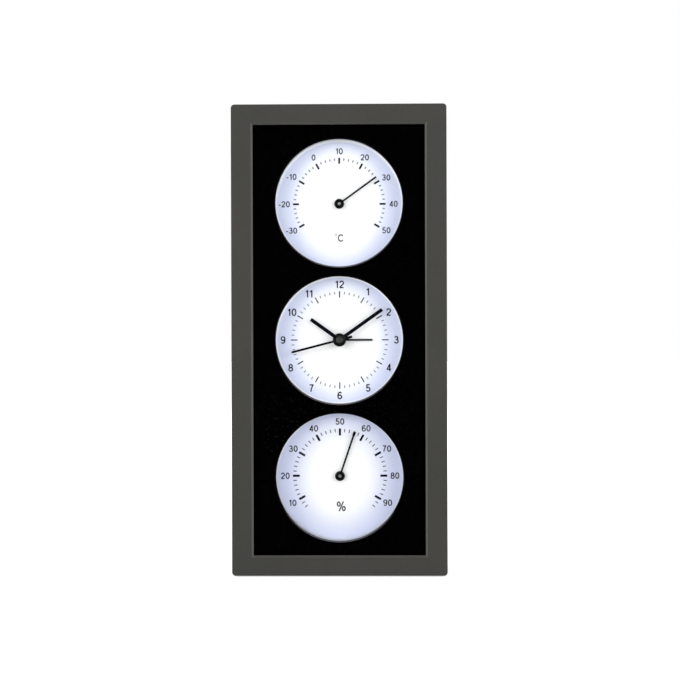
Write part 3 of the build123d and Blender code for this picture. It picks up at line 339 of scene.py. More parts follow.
def finish_of(
    name,
    colour,
    roughness,
    metallic=0.0,
    specular=0.3,
    mottle=0.12,
    mottle_size=14.0,
    grain_size=0.35,
    grain_depth=0.015,
    stretch=(1, 1, 1),
    coat=0.0,
    softness=0.12,
):
    """A moulded, painted or metal surface: its colour, a slow mottle and a fine grain."""
    material, tree, shader = material_parts(name)
    vector = place_vector(tree, stretch)
    slow = noise(tree, vector, mottle_size)
    fine = noise(tree, vector, grain_size, detail=2.0)
    darker = [value * (1 - mottle) for value in colour]
    lighter = [min(1.0, value * (1 + mottle)) for value in colour]
    shade = blend_colours(tree, spread(tree, slow, 0, 1), darker, lighter)
    tree.links.new(shade, shader.inputs["Base Color"])
    low, high = roughness * 0.88, min(1.0, roughness * 1.12)
    tree.links.new(spread(tree, fine, low, high), shader.inputs["Roughness"])
    edges = soft_edges(tree, softness) if softness else None
    tree.links.new(bump(tree, fine, grain_depth, edges), shader.inputs["Normal"])
    shader.inputs["Metallic"].default_value = metallic
    shader.inputs["Specular IOR Level"].default_value = specular
    shader.inputs["Coat Weight"].default_value = coat
    shader.inputs["Coat Roughness"].default_value = 0.08
    return material


def frame_finish():
    """Soft matte dark plastic: fine grain, faint dust, and a painted highlight that makes the
    slanted edges round the opening paler, most at the sides.
    """
    material, tree, shader = material_parts("frame_matte_painted_highlight")
    vector = place_vector(tree)
    slow = noise(tree, vector, 38.0, detail=4.0)
    specks = noise(tree, vector, 0.9, detail=1.0)
    fine = noise(tree, vector, 0.28, detail=2.0)
    dark, light = (0.0306, 0.0303, 0.0258), (0.0378, 0.0366, 0.0325)
    # Faint dust specks, and the paler grey of a painted highlight on the slanted edges round the
    # opening
    dust, slant_highlight_grey = (0.075, 0.073, 0.067), (0.105, 0.103, 0.1)
    base = blend_colours(tree, spread(tree, slow, 0, 1), dark, light)
    dusty = spread(tree, specks, 0, 0.2, start=0.55, end=0.8)
    base = blend_colours(tree, dusty, base, dust)
    geometry = tree.nodes.new("ShaderNodeNewGeometry")
    normal = separate(tree, geometry.outputs["True Normal"])
    place = separate(tree, vector)
    # Painted highlight: the slanted inner edges round the opening turn paler grey, fully at the
    # sides and at 0.35 of that above and below
    slant_highlights = []
    lip_width = 2.0
    for axis, reach, strength in (("X", opening_high.x, 1.0), ("Z", opening_high.z, 0.35)):
        lean = calculate(tree, "ABSOLUTE", normal[axis])
        slanted = spread(tree, lean, 0, strength, start=0.5, end=0.66)
        not_square = spread(tree, lean, 1, 0, start=0.8, end=0.9)
        middle_place = 0 if axis == "X" else centres["clock"].z / MM
        offset = calculate(tree, "SUBTRACT", place[axis], middle_place)
        offset = calculate(tree, "ABSOLUTE", offset)
        inside = calculate(tree, "LESS_THAN", offset, abs(reach / MM - middle_place) + lip_width)
        slant_highlight = calculate(tree, "MULTIPLY", slanted, not_square)
        slant_highlights.append(calculate(tree, "MULTIPLY", slant_highlight, inside))
    base = blend_colours(tree, calculate(tree, "MAXIMUM", *slant_highlights), base, slant_highlight_grey)
    tree.links.new(base, shader.inputs["Base Color"])
    tree.links.new(spread(tree, specks, 0.58, 0.7), shader.inputs["Roughness"])
    coarse = noise(tree, vector, 1.1, detail=2.0)
    grain = bump(tree, coarse, 0.09, bump(tree, fine, 0.03, soft_edges(tree, 0.5)))
    tree.links.new(grain, shader.inputs["Normal"])
    shader.inputs["Specular IOR Level"].default_value = 0.22
    return material


def dial_finish(name, shade_start=SHADE_START, rim_shade_white=RIM_SHADE_WHITE, lower_ring_highlight=LOWER_RING_SHADED_HIGHLIGHT):
    """White dial paint with painted shade that cools it towards the rim, sooner at the sides, and a
    painted highlight on the raised ring at the rim, lighter above and darker below.
    """
    material, tree, shader = material_parts(f"{name}_dial_paint_and_painted_shade")
    vector = place_vector(tree)
    centre = centres[name]
    radius = distance_from(tree, vector, centre)
    oval_radius = distance_from(tree, vector, centre, SHADE_OVAL)
    # Painted shade towards the rim, sooner at the sides
    rim = spread(tree, oval_radius, 0, 1, start=shade_start, end=SHADE_END, smooth=True)
    shade = blend_colours(tree, rim, DIAL_WHITE, rim_shade_white)
    # Painted highlight ring at the rim, lighter above and darker below
    height = separate(tree, vector)["Z"]
    level = centre.z / MM
    upper_ring_light = spread(tree, height, 0, 1, start=level, end=level + RING_LIGHT_REACH)
    ring_highlight_colour = blend_colours(tree, upper_ring_light, lower_ring_highlight, UPPER_RING_HIGHLIGHT)
    ring_highlight_share = spread(tree, radius, 0, 1, start=RING_HIGHLIGHT_START, end=RING_HIGHLIGHT_END)
    shade = blend_colours(tree, ring_highlight_share, shade, ring_highlight_colour)
    tooth = noise(tree, vector, 0.4, detail=2.0)
    shade = blend_colours(tree, spread(tree, tooth, 0.0, 0.03), shade, (0.8, 0.82, 0.9))
    tree.links.new(shade, shader.inputs["Base Color"])
    tree.links.new(spread(tree, tooth, 0.5, 0.62), shader.inputs["Roughness"])
    tree.links.new(bump(tree, tooth, 0.004), shader.inputs["Normal"])
    shader.inputs["Specular IOR Level"].default_value = 0.2
    return material


def mask_finish():
    """Deep black printed panel; its bevelled window edges are satin, and a painted highlight makes
    them paler grey where they face up.
    """
    material, tree, shader = material_parts("mask_black")
    vector = place_vector(tree)
    geometry = tree.nodes.new("ShaderNodeNewGeometry")
    normal = separate(tree, geometry.outputs["True Normal"])
    # Painted highlight: the window bevels turn paler grey where they face up, as if lit from above;
    # those facing down stay nearly black
    lit_edge = spread(tree, normal["Y"], 0, 1, start=-0.98, end=-0.9)
    facing_up = spread(tree, normal["Z"], 0.04, 1, start=0.35, end=0.75)
    lit_edge = calculate(tree, "MULTIPLY", lit_edge, facing_up)
    fine = noise(tree, vector, 0.5, detail=2.0)
    deep, less_deep, lit_edge_grey = (0.0002,) * 3, (0.0003,) * 3, (0.113, 0.115, 0.13)
    printed = blend_colours(tree, spread(tree, fine, 0, 1), deep, less_deep)
    colour = blend_colours(tree, lit_edge, printed, lit_edge_grey)
    tree.links.new(colour, shader.inputs["Base Color"])
    tree.links.new(spread(tree, lit_edge, 0.3, 0.45, start=0, end=1), shader.inputs["Roughness"])
    tree.links.new(bump(tree, fine, 0.002), shader.inputs["Normal"])
    shader.inputs["Specular IOR Level"].default_value = 0.005
    return material


def glass_finish():
    """Clear low-reflection pane with a faint film of dust."""
    material, tree, shader = material_parts("window_pane")
    vector = place_vector(tree)
    film = noise(tree, vector, 22.0, detail=5.0)
    tree.links.new(spread(tree, film, 0.0, 0.006), shader.inputs["Roughness"])
    shader.inputs["Base Color"].default_value = (0.985, 0.995, 0.99, 1)
    shader.inputs["Transmission Weight"].default_value = 1.0
    shader.inputs["IOR"].default_value = 1.04
    clear = tree.nodes.new("ShaderNodeBsdfTransparent")
    rays = tree.nodes.new("ShaderNodeLightPath").outputs
    unseen = calculate(tree, "MAXIMUM", rays["Is Shadow Ray"], rays["Is Diffuse Ray"])
    mix = tree.nodes.new("ShaderNodeMixShader")
    tree.links.new(unseen, mix.inputs[0])
    tree.links.new(shader.outputs["BSDF"], mix.inputs[1])
    tree.links.new(clear.outputs["BSDF"], mix.inputs[2])
    tree.links.new(mix.outputs["Shader"], tree.nodes["Material Output"].inputs["Surface"])
    return material


def jacket_finish(high):
    """Printed film round the cell, which ends at high: blue, with a silver band near the plus."""
    material, tree, shader = material_parts("cell_jacket")
    vector = place_vector(tree)
    place = separate(tree, vector)["X"]
    blue, silver, plus_blue = (0.012, 0.05, 0.13), (0.45, 0.46, 0.47), (0.03, 0.11, 0.24)
    band_start = high / MM - CELL_BAND_INSET
    band = spread(tree, place, 0, 1, start=band_start, end=band_start + 0.15)
    before_end = spread(tree, place, 1, 0, start=band_start + 0.8, end=band_start + 0.9)
    colour = blend_colours(tree, band, blue, silver)
    past_band = calculate(tree, "SUBTRACT", 1.0, before_end)
    colour = blend_colours(tree, past_band, colour, plus_blue)
    fine = noise(tree, vector, 0.9, detail=2.0)
    tree.links.new(colour, shader.inputs["Base Color"])
    tree.links.new(spread(tree, fine, 0.24, 0.32), shader.inputs["Roughness"])
    tree.links.new(bump(tree, fine, 0.008), shader.inputs["Normal"])
    shader.inputs["Metallic"].default_value = 0.35
    shader.inputs["Coat Weight"].default_value = 0.5
    shader.inputs["Coat Roughness"].default_value = 0.1
    return material


def ink_of(name, colour, mottle_size=0.6):
    """Printing ink: matte, with hardly any gloss."""
    return finish_of(name, colour, 0.65, specular=0.04, mottle_size=mottle_size, softness=0)


def brushed(name, colour, roughness, stretch=(0.15, 1, 1)):
    """Rolled or turned metal with a grain that runs along the part."""
    return finish_of(
        name,
        colour,
        roughness,
        metallic=1.0,
        mottle=0.06,
        mottle_size=3.0,
        grain_size=0.12,
        grain_depth=0.004,
        stretch=stretch,
        softness=0.06,
    )


ink = ink_of("dial_ink", (0.005, 0.006, 0.013), mottle_size=0.8)
grey_ink = ink_of("grey_dial_ink", (0.06, 0.065, 0.09))
soft_ink = ink_of("soft_dial_ink", (0.17, 0.18, 0.22))
pale_ink = ink_of("pale_dial_ink", (0.27, 0.28, 0.31))
white_ink = finish_of("white_mark", (0.6, 0.6, 0.58), 0.6, mottle_size=0.6, softness=0)
hand_black = finish_of(
    "hand_lacquer", (0.0015, 0.0015, 0.004), 0.5, specular=0.02, grain_size=0.2, grain_depth=0.002
)
cap_black = finish_of(
    "cap_gloss", (0.001, 0.001, 0.001), 0.22, specular=0.06, grain_size=0.6, grain_depth=0.002
)
boss_black = finish_of(
    "boss_gloss", (0.015, 0.015, 0.012), 0.25, specular=0.2, grain_size=0.5, grain_depth=0.01
)
carrier_white = finish_of("carrier_white", (0.74, 0.76, 0.82), 0.45, mottle=0.03)
cover_black = finish_of(
    "cover_grain",
    (0.0105, 0.0105, 0.0105),
    0.55,
    specular=0.2,
    mottle=0.2,
    grain_size=0.55,
    grain_depth=0.12,
    softness=0.2,
)
case_black = finish_of(
    "movement_case", (0.007, 0.007, 0.0075), 0.42, specular=0.2, grain_size=0.4, grain_depth=0.04
)
knob_black = finish_of("knob_satin", (0.013, 0.013, 0.014), 0.3, specular=0.35, grain_size=0.25)
switch_grey = finish_of("switch_grey", (0.34, 0.34, 0.335), 0.42, mottle=0.05)
rubber = finish_of("pad_rubber", (0.014, 0.014, 0.014), 0.85, grain_size=0.5, grain_depth=0.05)
wheel_cream = finish_of("wheel_cream", (0.66, 0.64, 0.56), 0.35, mottle=0.04, mottle_size=3.0)
train_white = finish_of("train_white", (0.7, 0.7, 0.68), 0.4, mottle=0.04)
winding_copper = finish_of(
    "winding_copper",
    (0.62, 0.25, 0.11),
    0.34,
    metallic=1.0,
    mottle=0.18,
    mottle_size=0.6,
    grain_size=0.12,
    grain_depth=0.03,
    stretch=(1, 0.05, 0.05),
)
board_green = finish_of(
    "board_green", (0.03, 0.16, 0.05), 0.3, mottle=0.25, mottle_size=2.0, coat=0.4
)
resin_black = finish_of("resin_black", (0.01, 0.01, 0.011), 0.22, grain_size=1.2, grain_depth=0.05)
steel = brushed("screw_steel", (0.5, 0.495, 0.48), 0.32, stretch=(1, 1, 0.4))
sheet_steel = brushed("sheet_steel", (0.5, 0.5, 0.5), 0.42)
dark_steel = brushed("dark_steel", (0.13, 0.13, 0.135), 0.4)
nickel = brushed("nickel", (0.66, 0.64, 0.58), 0.28)
brass = brushed("turned_brass", (0.72, 0.52, 0.24), 0.3)
bimetal = brushed("bimetal", (0.56, 0.5, 0.42), 0.36)
humidity_strip = brushed("humidity_strip", (0.6, 0.42, 0.25), 0.5)

FINISHES = {
    "front_frame": frame_finish(),
    "rubber_feet": rubber,
    "window_glass": glass_finish(),
    "mask_panel": mask_finish(),
    "dial_carrier": carrier_white,
    "thermometer_dial": dial_finish("thermometer"),
    "clock_dial": dial_finish("clock"),
    # The hygrometer's painted shade starts nearer its centre and is deeper
    "hygrometer_dial": dial_finish("hygrometer", DEEP_SHADE_START, DEEP_RIM_SHADE_WHITE, DEEP_LOWER_RING_SHADED_HIGHLIGHT),
    "rear_cover": cover_black,
    "rear_cover_screws": steel,
    "carrier_screws": steel,
    "thermometer_bush": brass,
    "thermometer_arbor": dark_steel,
    "thermometer_bridge": sheet_steel,
    "thermometer_coil": bimetal,
    "thermometer_pointer": hand_black,
    "hygrometer_bush": brass,
    "hygrometer_arbor": dark_steel,
    "hygrometer_bridge": sheet_steel,
    "hygrometer_coil": humidity_strip,
    "hygrometer_pointer": hand_black,
    "movement_front_plate": case_black,
    "movement_rear_case": case_black,
    "movement_screws": steel,
    "train_plate": train_white,
    "rotor": wheel_cream,
    "step_wheel": wheel_cream,
    "second_wheel": wheel_cream,
    "third_wheel": wheel_cream,
    "centre_wheel": wheel_cream,
    "cannon_pinion": brass,
    "day_wheel": wheel_cream,
    "hour_wheel": wheel_cream,
    "alarm_wheel": wheel_cream,
    "time_knob": knob_black,
    "alarm_knob": knob_black,
    "alarm_hand": hand_black,
    "hour_hand": hand_black,
    "minute_hand": hand_black,
    "second_hand": hand_black,
    "stator": sheet_steel,
    "coil_core": sheet_steel,
    "coil_bobbin": train_white,
    "coil_winding": winding_copper,
    "circuit_board": board_green,
    "quartz_crystal": nickel,
    "chip": resin_black,
    "buzzer": resin_black,
    "battery": nickel,
    "battery_contact": nickel,
    "battery_spring": nickel,
    "alarm_contact": nickel,
    "alarm_switch": switch_grey,
}
for node, material in FINISHES.items():
    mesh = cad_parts[node].data
    mesh.materials.clear()
    mesh.materials.append(material)


# Mesh helpers: outlines and forms for a bmesh, and the pieces that are made of it


def around(centre, radius, angle, depth):
    """A point at a radius and a clockwise angle from the top, at a depth along Y."""
    turn = radians(angle)
    return Vector((centre.x + radius * sin(turn), depth, centre.z + radius * cos(turn)))


def ring_about(centre, turn=0):
    """The ring function of a form that is turned about a centre, on an axis along Y."""

    def ring(radius, angle, depth):
        return around(centre, radius, angle + turn, depth)

    return ring


def prism(mesh, outline, front, back):
    """A flat outline of (x, z) points given depth from its front to its back."""
    ends = []
    for depth in (front, back):
        ends.append([mesh.verts.new((x, depth, z)) for x, z in outline])
    faces = [mesh.faces.new(ends[0]), mesh.faces.new(list(reversed(ends[1])))]
    count = len(outline)
    for i in range(count):
        j = (i + 1) % count
        faces.append(mesh.faces.new((ends[0][j], ends[0][i], ends[1][i], ends[1][j])))
    return faces


def ray_bar(centre, start, end, width, angle):
    """The outline of a bar that runs outwards from a centre at a clockwise angle."""
    along = Vector((sin(radians(angle)), cos(radians(angle))))
    across = Vector((along.y, -along.x)) * width / 2
    origin = Vector((centre.x, centre.z))
    corners = [
        origin + along * start - across,
        origin + along * start + across,
        origin + along * end + across,
        origin + along * end - across,
    ]
    return [(corner.x, corner.y) for corner in corners]


def turned(mesh, ring, profile, segments=64, last_index=0, last_bands=0):
    """A turned form from (radius, depth) pairs; ring(radius, angle, depth) gives its points.

    A profile that ends where it starts makes a closed ring. The last bands may have a
    material of their own.
    """
    rings = []
    for radius, depth in profile:
        if rings and (radius, depth) == profile[0]:
            rings.append(rings[0])
            continue
        steps = range(segments) if radius else range(1)
        rings.append([mesh.verts.new(ring(radius, step * 360 / segments, depth)) for step in steps])
    first_of_last = len(rings) - 1 - last_bands
    for band, (first, second) in enumerate(zip(rings, rings[1:])):
        for step in range(segments):
            after = (step + 1) % segments
            corners = [first[step % len(first)], first[after % len(first)]]
            corners += [second[after % len(second)], second[step % len(second)]]
            unique = list(dict.fromkeys(corners))
            if len(unique) > 2:
                face = mesh.faces.new(unique)
                face.material_index = last_index if band >= first_of_last else 0
                face.smooth = True


def mesh_object(name, mesh):
    """Turns a bmesh into an object of the scene."""
    data = bpy.data.meshes.new(name)
    mesh.to_mesh(data)
    mesh.free()
    made = bpy.data.objects.new(name, data)
    bpy.context.scene.collection.objects.link(made)
    return made


def piece(name, mesh, materials, body="housing", replaced=(), bevel=0.0, *, slot):
    """Turns a bmesh into a piece of the object that rides on a body."""
    bmesh.ops.recalc_face_normals(mesh, faces=mesh.faces)
    made = mesh_object(name, mesh)
    for material in materials:
        made.data.materials.append(material)
    if bevel:
        softened = made.modifiers.new("softened", "BEVEL")
        softened.width = bevel
        softened.segments = 2
        softened.limit_method = "ANGLE"
        softened.angle_limit = radians(40)
    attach(made, body)
    if replaced:
        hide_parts(*replaced)
    return made


# Lettering: numerals and signs as raised strokes, in shares of a numeral's height


def arc(centre_x, centre_z, radius_x, radius_z, start, end, steps):
    """Points of an elliptical arc, with angles counter-clockwise from the right."""
    points = []
    for step in range(steps + 1):
        turn = radians(start + (end - start) * step / steps)
        points.append((centre_x + radius_x * cos(turn), centre_z + radius_z * sin(turn)))
    return points


# Each glyph is its width and its strokes, which are lists of (across, up) points
SIX = [
    arc(0.31, 0.31, 0.25, 0.25, 0, 360, 24),
    [(0.06, 0.33), (0.065, 0.52), (0.1, 0.71), (0.18, 0.86)]
    + [(0.3, 0.935), (0.42, 0.92), (0.53, 0.8)],
]
GLYPHS = {
    "0": (0.62, [arc(0.31, 0.5, 0.25, 0.44, 0, 360, 28)]),
    "1": (0.44, [[(0.31, 0.0), (0.31, 1.0)], [(0.31, 0.95), (0.24, 0.85), (0.07, 0.74)]]),
    "2": (
        0.62,
        [
            arc(0.31, 0.68, 0.245, 0.26, 170, -30, 16)
            + [(0.38, 0.42), (0.22, 0.26), (0.12, 0.14), (0.09, 0.05)],
            [(0.02, 0.06), (0.57, 0.06)],
        ],
    ),
    "3": (
        0.62,
        [
            arc(0.29, 0.73, 0.21, 0.21, 160, -85, 14),
            arc(0.3, 0.29, 0.25, 0.23, 92, -165, 16),
            [(0.22, 0.52), (0.32, 0.52)],
        ],
    ),
    "4": (
        0.62,
        [[(0.44, 0.0), (0.44, 1.0)], [(0.43, 0.95), (0.07, 0.27)], [(0.02, 0.27), (0.6, 0.27)]],
    ),
    "5": (
        0.62,
        [
            [(0.54, 0.94), (0.16, 0.94), (0.1, 0.5)],
            [(0.1, 0.5)] + arc(0.3, 0.32, 0.25, 0.26, 135, -160, 18),
        ],
    ),
    "6": (0.62, SIX),
    "7": (
        0.62,
        [[(0.04, 0.94), (0.58, 0.94)], [(0.54, 0.94), (0.4, 0.68), (0.28, 0.36), (0.23, 0.0)]],
    ),
    "8": (
        0.62,
        [arc(0.31, 0.735, 0.205, 0.205, 0, 360, 22), arc(0.31, 0.295, 0.25, 0.235, 0, 360, 24)],
    ),
    "9": (0.62, [[(0.62 - x, 1 - z) for x, z in points] for points in SIX]),
    "-": (0.36, [[(0.02, 0.36), (0.32, 0.36)]]),
    "+": (
        0.7,
        [
            [(0.02, 0.5), (0.68, 0.5)],
            [(0.35, 0.17), (0.35, 0.34), (0.35, 0.5), (0.35, 0.66), (0.35, 0.83)],
        ],
    ),
    "C": (0.76, [arc(0.4, 0.5, 0.34, 0.44, 38, 322, 24)]),
    "O": (0.78, [arc(0.39, 0.5, 0.34, 0.44, 0, 360, 28)]),
    "N": (
        0.7,
        [[(0.08, 0.0), (0.08, 1.0)], [(0.1, 0.96), (0.6, 0.04)], [(0.62, 0.0), (0.62, 1.0)]],
    ),
    "F": (0.6, [[(0.08, 0.0), (0.08, 0.94), (0.56, 0.94)], [(0.08, 0.5), (0.5, 0.5)]]),
    "%": (
        0.92,
        [
            arc(0.2, 0.73, 0.14, 0.21, 0, 360, 20),
            arc(0.72, 0.27, 0.14, 0.21, 0, 360, 20),
            [(0.24, 0.0), (0.68, 1.0)],
        ],
    ),
}


def on_dial(across, up, rise):
    """A point of dial print, seen from the front."""
    return across, dial_face - rise, up


def on_case(across, up, rise):
    """A point of a mark on the movement's back, seen from behind."""
    return -across, case_back + rise, up


def stroke_sides(points, closed, width):
    """The two edges of a stroke: offset, mitred points on its left and on its right."""
    lefts, rights = [], []
    for index, point in enumerate(points):
        before = points[index - 1] if index or closed else None
        last = index + 1 == len(points)
        after = points[0 if last else index + 1] if closed or not last else None
        here = Vector(point)
        steps = []
        if before:
            steps.append((here - Vector(before)).normalized())
        if after:
            steps.append((Vector(after) - here).normalized())
        along = sum(steps, Vector((0, 0))).normalized()
        reach = width / 2 / max(MITRE_LIMIT, along.dot(steps[0]))
        across = Vector((-along.y, along.x)) * reach
        lefts.append(here + across)
        rights.append(here - across)
    return lefts, rights


def stroke(mesh, points, width, surface, material_index=0, height=PRINT_HEIGHT):
    """Adds a stroke to a bmesh as a raised ribbon on a surface."""
    closed = (Vector(points[0]) - Vector(points[-1])).length < CLOSED_WITHIN
    lefts, rights = stroke_sides(points[:-1] if closed else points, closed, width)
    rows = []
    for left, right in zip(lefts, rights):
        corners = ((left, 0.0), (left, height), (right, height), (right, 0.0))
        rows.append([mesh.verts.new(surface(spot.x, spot.y, rise)) for spot, rise in corners])
    faces = [] if closed else [tuple(rows[0]), tuple(reversed(rows[-1]))]
    for first, second in zip(rows, rows[1:] + rows[:1] if closed else rows[1:]):
        for corner in range(4):
            after = (corner + 1) % 4
            faces.append((first[corner], first[after], second[after], second[corner]))
    for corners in faces:
        mesh.faces.new(corners).material_index = material_index


def lettering(mesh, text, size, place, surface, material_index=0, weight=NUMERAL_WEIGHT):
    """Adds upright raised characters of a size, centred on an (across, up) place."""
    advances = [GLYPHS[letter][0] + GLYPH_SPACING_SHARE for letter in text]
    cursor = place[0] - (sum(advances) - GLYPH_SPACING_SHARE) * size / 2
    base = place[1] - size / 2
    for letter, advance in zip(text, advances):
        for points in GLYPHS[letter][1]:
            placed = [(cursor + x * size, base + z * size) for x, z in points]
            stroke(mesh, placed, weight * size, surface, material_index)
        cursor += advance * size


# Dial printing: ticks and numerals, as thin raised ink


def oval_place(centre, radius_x, radius_z, angle):
    """The (x, z) place of a numeral on the slightly wide oval that the numerals follow."""
    turn = radians(angle)
    return centre.x + radius_x * sin(turn), centre.z + radius_z * cos(turn)


def tick(mesh, centre, angle, sizes, material_index):
    """One printed tick on a dial."""
    start, end, width = [size * MM for size in sizes]
    outline = ray_bar(centre, start, end, width, angle)
    for face in prism(mesh, outline, dial_face - PRINT_HEIGHT, dial_face):
        face.material_index = material_index


def unit_sign(mesh, text, centre, sizes):
    """The sign of a dial's unit. Returns the height at which it stands."""
    size, across, up, weight = sizes
    low = centre.z + up
    lettering(mesh, text, size, (centre.x + across, low), on_dial, weight=weight)
    return low


def thermometer_printing():
    """Degrees Celsius from -30 to 50, thirty degrees of turn for each ten."""
    mesh = bmesh.new()
    centre = centres["thermometer"]
    for index in range(SCALE_TICKS):
        angle = SCALE_START + index * TICK_STEP
        if index % TICKS_PER_NUMERAL:
            tick(mesh, centre, angle, THERMOMETER_TICKS["short"], 1)
            continue
        tick(mesh, centre, angle, THERMOMETER_TICKS["long"], 0)
        value = THERMOMETER_LOWEST + index * UNITS_PER_TICK
        share = THERMOMETER_TOP_SHARE if abs(angle) == NUMERAL_STEP else 1
        size, *radii = THERMOMETER_NUMERALS
        x, z = oval_place(centre, *radii, angle * share)
        shift = MINUS_SHIFT if value < 0 else 0.0
        lift = MINUS_TEN_LIFT if value == -10 else 0.0
        lettering(mesh, str(value), size, (x - shift, z + lift), on_dial)
    low = unit_sign(mesh, "C", centre, CELSIUS_SIGN)
    place = (centre.x + DEGREE_SHIFT, low + DEGREE_LIFT)
    degree = arc(*place, DEGREE_RADIUS, DEGREE_RADIUS, 0, 360, 16)
    stroke(mesh, degree, DEGREE_WEIGHT, on_dial, 1)
    piece("thermometer_printing", mesh, [ink, pale_ink], slot="pointer_black")


def clock_printing():
    """Twelve numerals, a tick for each hour and a fine pale one for each minute."""
    mesh = bmesh.new()
    centre = centres["clock"]
    for minute in range(60):
        angle = minute * TICK_STEP
        if minute % TICKS_PER_NUMERAL:
            tick(mesh, centre, angle, CLOCK_TICKS["short"], 1)
        else:
            tick(mesh, centre, angle, CLOCK_TICKS["long"], 0)
    for hour in range(1, 13):
        angle = hour * NUMERAL_STEP - (ELEVEN_TURN if hour == 11 else 0)
        size, reach, rise = CLOCK_NUMERALS
        place = oval_place(centre, reach if hour < 10 else TWO_DIGIT_REACH, rise, angle)
        lettering(mesh, str(hour), size, place, on_dial)
    piece("clock_printing", mesh, [ink, soft_ink], slot="pointer_black")


def hygrometer_printing():
    """Relative humidity from 10 to 90 per cent, thirty degrees of turn for each ten."""
    mesh = bmesh.new()
    centre = centres["hygrometer"]
    for index in range(-2, SCALE_TICKS + 2):
        angle = SCALE_START + index * TICK_STEP
        if index % TICKS_PER_NUMERAL or not 0 <= index < SCALE_TICKS:
            tick(mesh, centre, angle, HYGROMETER_TICKS["short"], 1)
            continue
        tick(mesh, centre, angle, HYGROMETER_TICKS["long"], 0)
        share = HYGROMETER_TOP_SHARE if abs(angle) == NUMERAL_STEP else 1
        size, reach, rise = HYGROMETER_NUMERALS
        reach = SIDE_REACH if abs(angle) > SIDE_FROM else reach
        place = oval_place(centre, reach, rise, angle * share)
        value = HYGROMETER_LOWEST + index * UNITS_PER_TICK
        lettering(mesh, str(value), size, place, on_dial)
    unit_sign(mesh, "%", centre, PERCENT_SIGN)
    piece("hygrometer_printing", mesh, [ink, grey_ink], slot="pointer_black")


# Hands and pointers: stamped blades with softened edges, on turned hubs


def hand(node, body, centre, hub, boss=(), tail=None, tip=None):
    """A hand in the place of its CAD node: its blade, and a turned hub that may hold a boss."""
    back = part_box(node)[1].y
    front = back - BLADE_THICKNESS
    angle, *sizes = BLADES[node]
    start, reach, width = [size * MM for size in sizes]
    mesh = bmesh.new()
    prism(mesh, ray_bar(centre, start, reach, width, angle), front, back)
    if tail:
        length, breadth = [size * MM for size in tail]
        prism(mesh, ray_bar(centre, 0, length, breadth, angle + 180), front, back)
    if tip:
        length, breadth = [size * MM for size in tip]
        outline = ray_bar(centre, reach - length, reach, breadth, angle)
        prism(mesh, outline, front - TIP_STEP, back)
    piece(
        f"{node}_blade",
        mesh,
        [hand_black],
        body,
        replaced=(node,),
        bevel=BLADE_EDGE,
        slot="pointer_black",
    )
    hub_mesh = bmesh.new()
    profile = [(radius * MM, back - rise * MM) for radius, rise in (*hub, *boss)]
    turned(hub_mesh, ring_about(centre), profile, last_index=1, last_bands=len(boss))
    piece(f"{node}_hub", hub_mesh, [cap_black, boss_black], body, slot="pointer_black")


def collet(radius):
    """The profile of a hand's turned collet, open in the middle for the pipe."""
    shape = ((0, 0.0), (0, 0.42), (0.06, 0.52), (0.18, 0.58))
    outside = [(radius - inset, rise) for inset, rise in shape]
    return outside + [(1.2, 0.58), (1.0, 0.5), (1.0, 0.0), outside[0]]


def make_hands():
    """Every hand and pointer, at the reading that the photograph shows."""
    clock = centres["clock"]
    for name, radius in COLLET_RADII.items():
        hand(f"{name}_hand", f"{name}_train", clock, collet(radius))
    hand("second_hand", "second_train", clock, SECOND_CAP, SECOND_BOSS, tail=SECOND_TAIL)
    for name, tip in (("thermometer", None), ("hygrometer", HYGROMETER_TIP)):
        hand(f"{name}_pointer", f"{name}_needle", centres[name], POINTER_HUB, tip=tip)


# Back: screws, knobs, battery and moulded marks


def cross_outline(centre, reach, width):
    """The outline of a screwdriver's cross round a centre, in x and z."""
    half = width / 2
    corner = [(half, reach), (half, half), (reach, half)]
    points = []
    for quarter in range(4):
        turn = quarter * pi / 2
        for x, z in corner:
            points.append((x * cos(turn) + z * sin(turn), z * cos(turn) - x * sin(turn)))
    return [(centre.x + x, centre.z + z) for x, z in points]


def cut_recesses(screws, cutters):
    """Cuts a bmesh out of the screws, and smooths their turned faces."""
    bmesh.ops.recalc_face_normals(cutters, faces=cutters.faces)
    cutter = mesh_object("recess", cutters)
    recess = screws.modifiers.new("recess", "BOOLEAN")
    recess.operation = "DIFFERENCE"
    recess.object = cutter
    bpy.context.view_layer.update()
    graph = bpy.context.evaluated_depsgraph_get()
    cut = bpy.data.meshes.new_from_object(screws.evaluated_get(graph))
    screws.modifiers.clear()
    screws.data = cut
    bpy.data.objects.remove(cutter)
    for polygon in cut.polygons:
        polygon.use_smooth = True
    cut.set_sharp_from_angle(angle=radians(35))


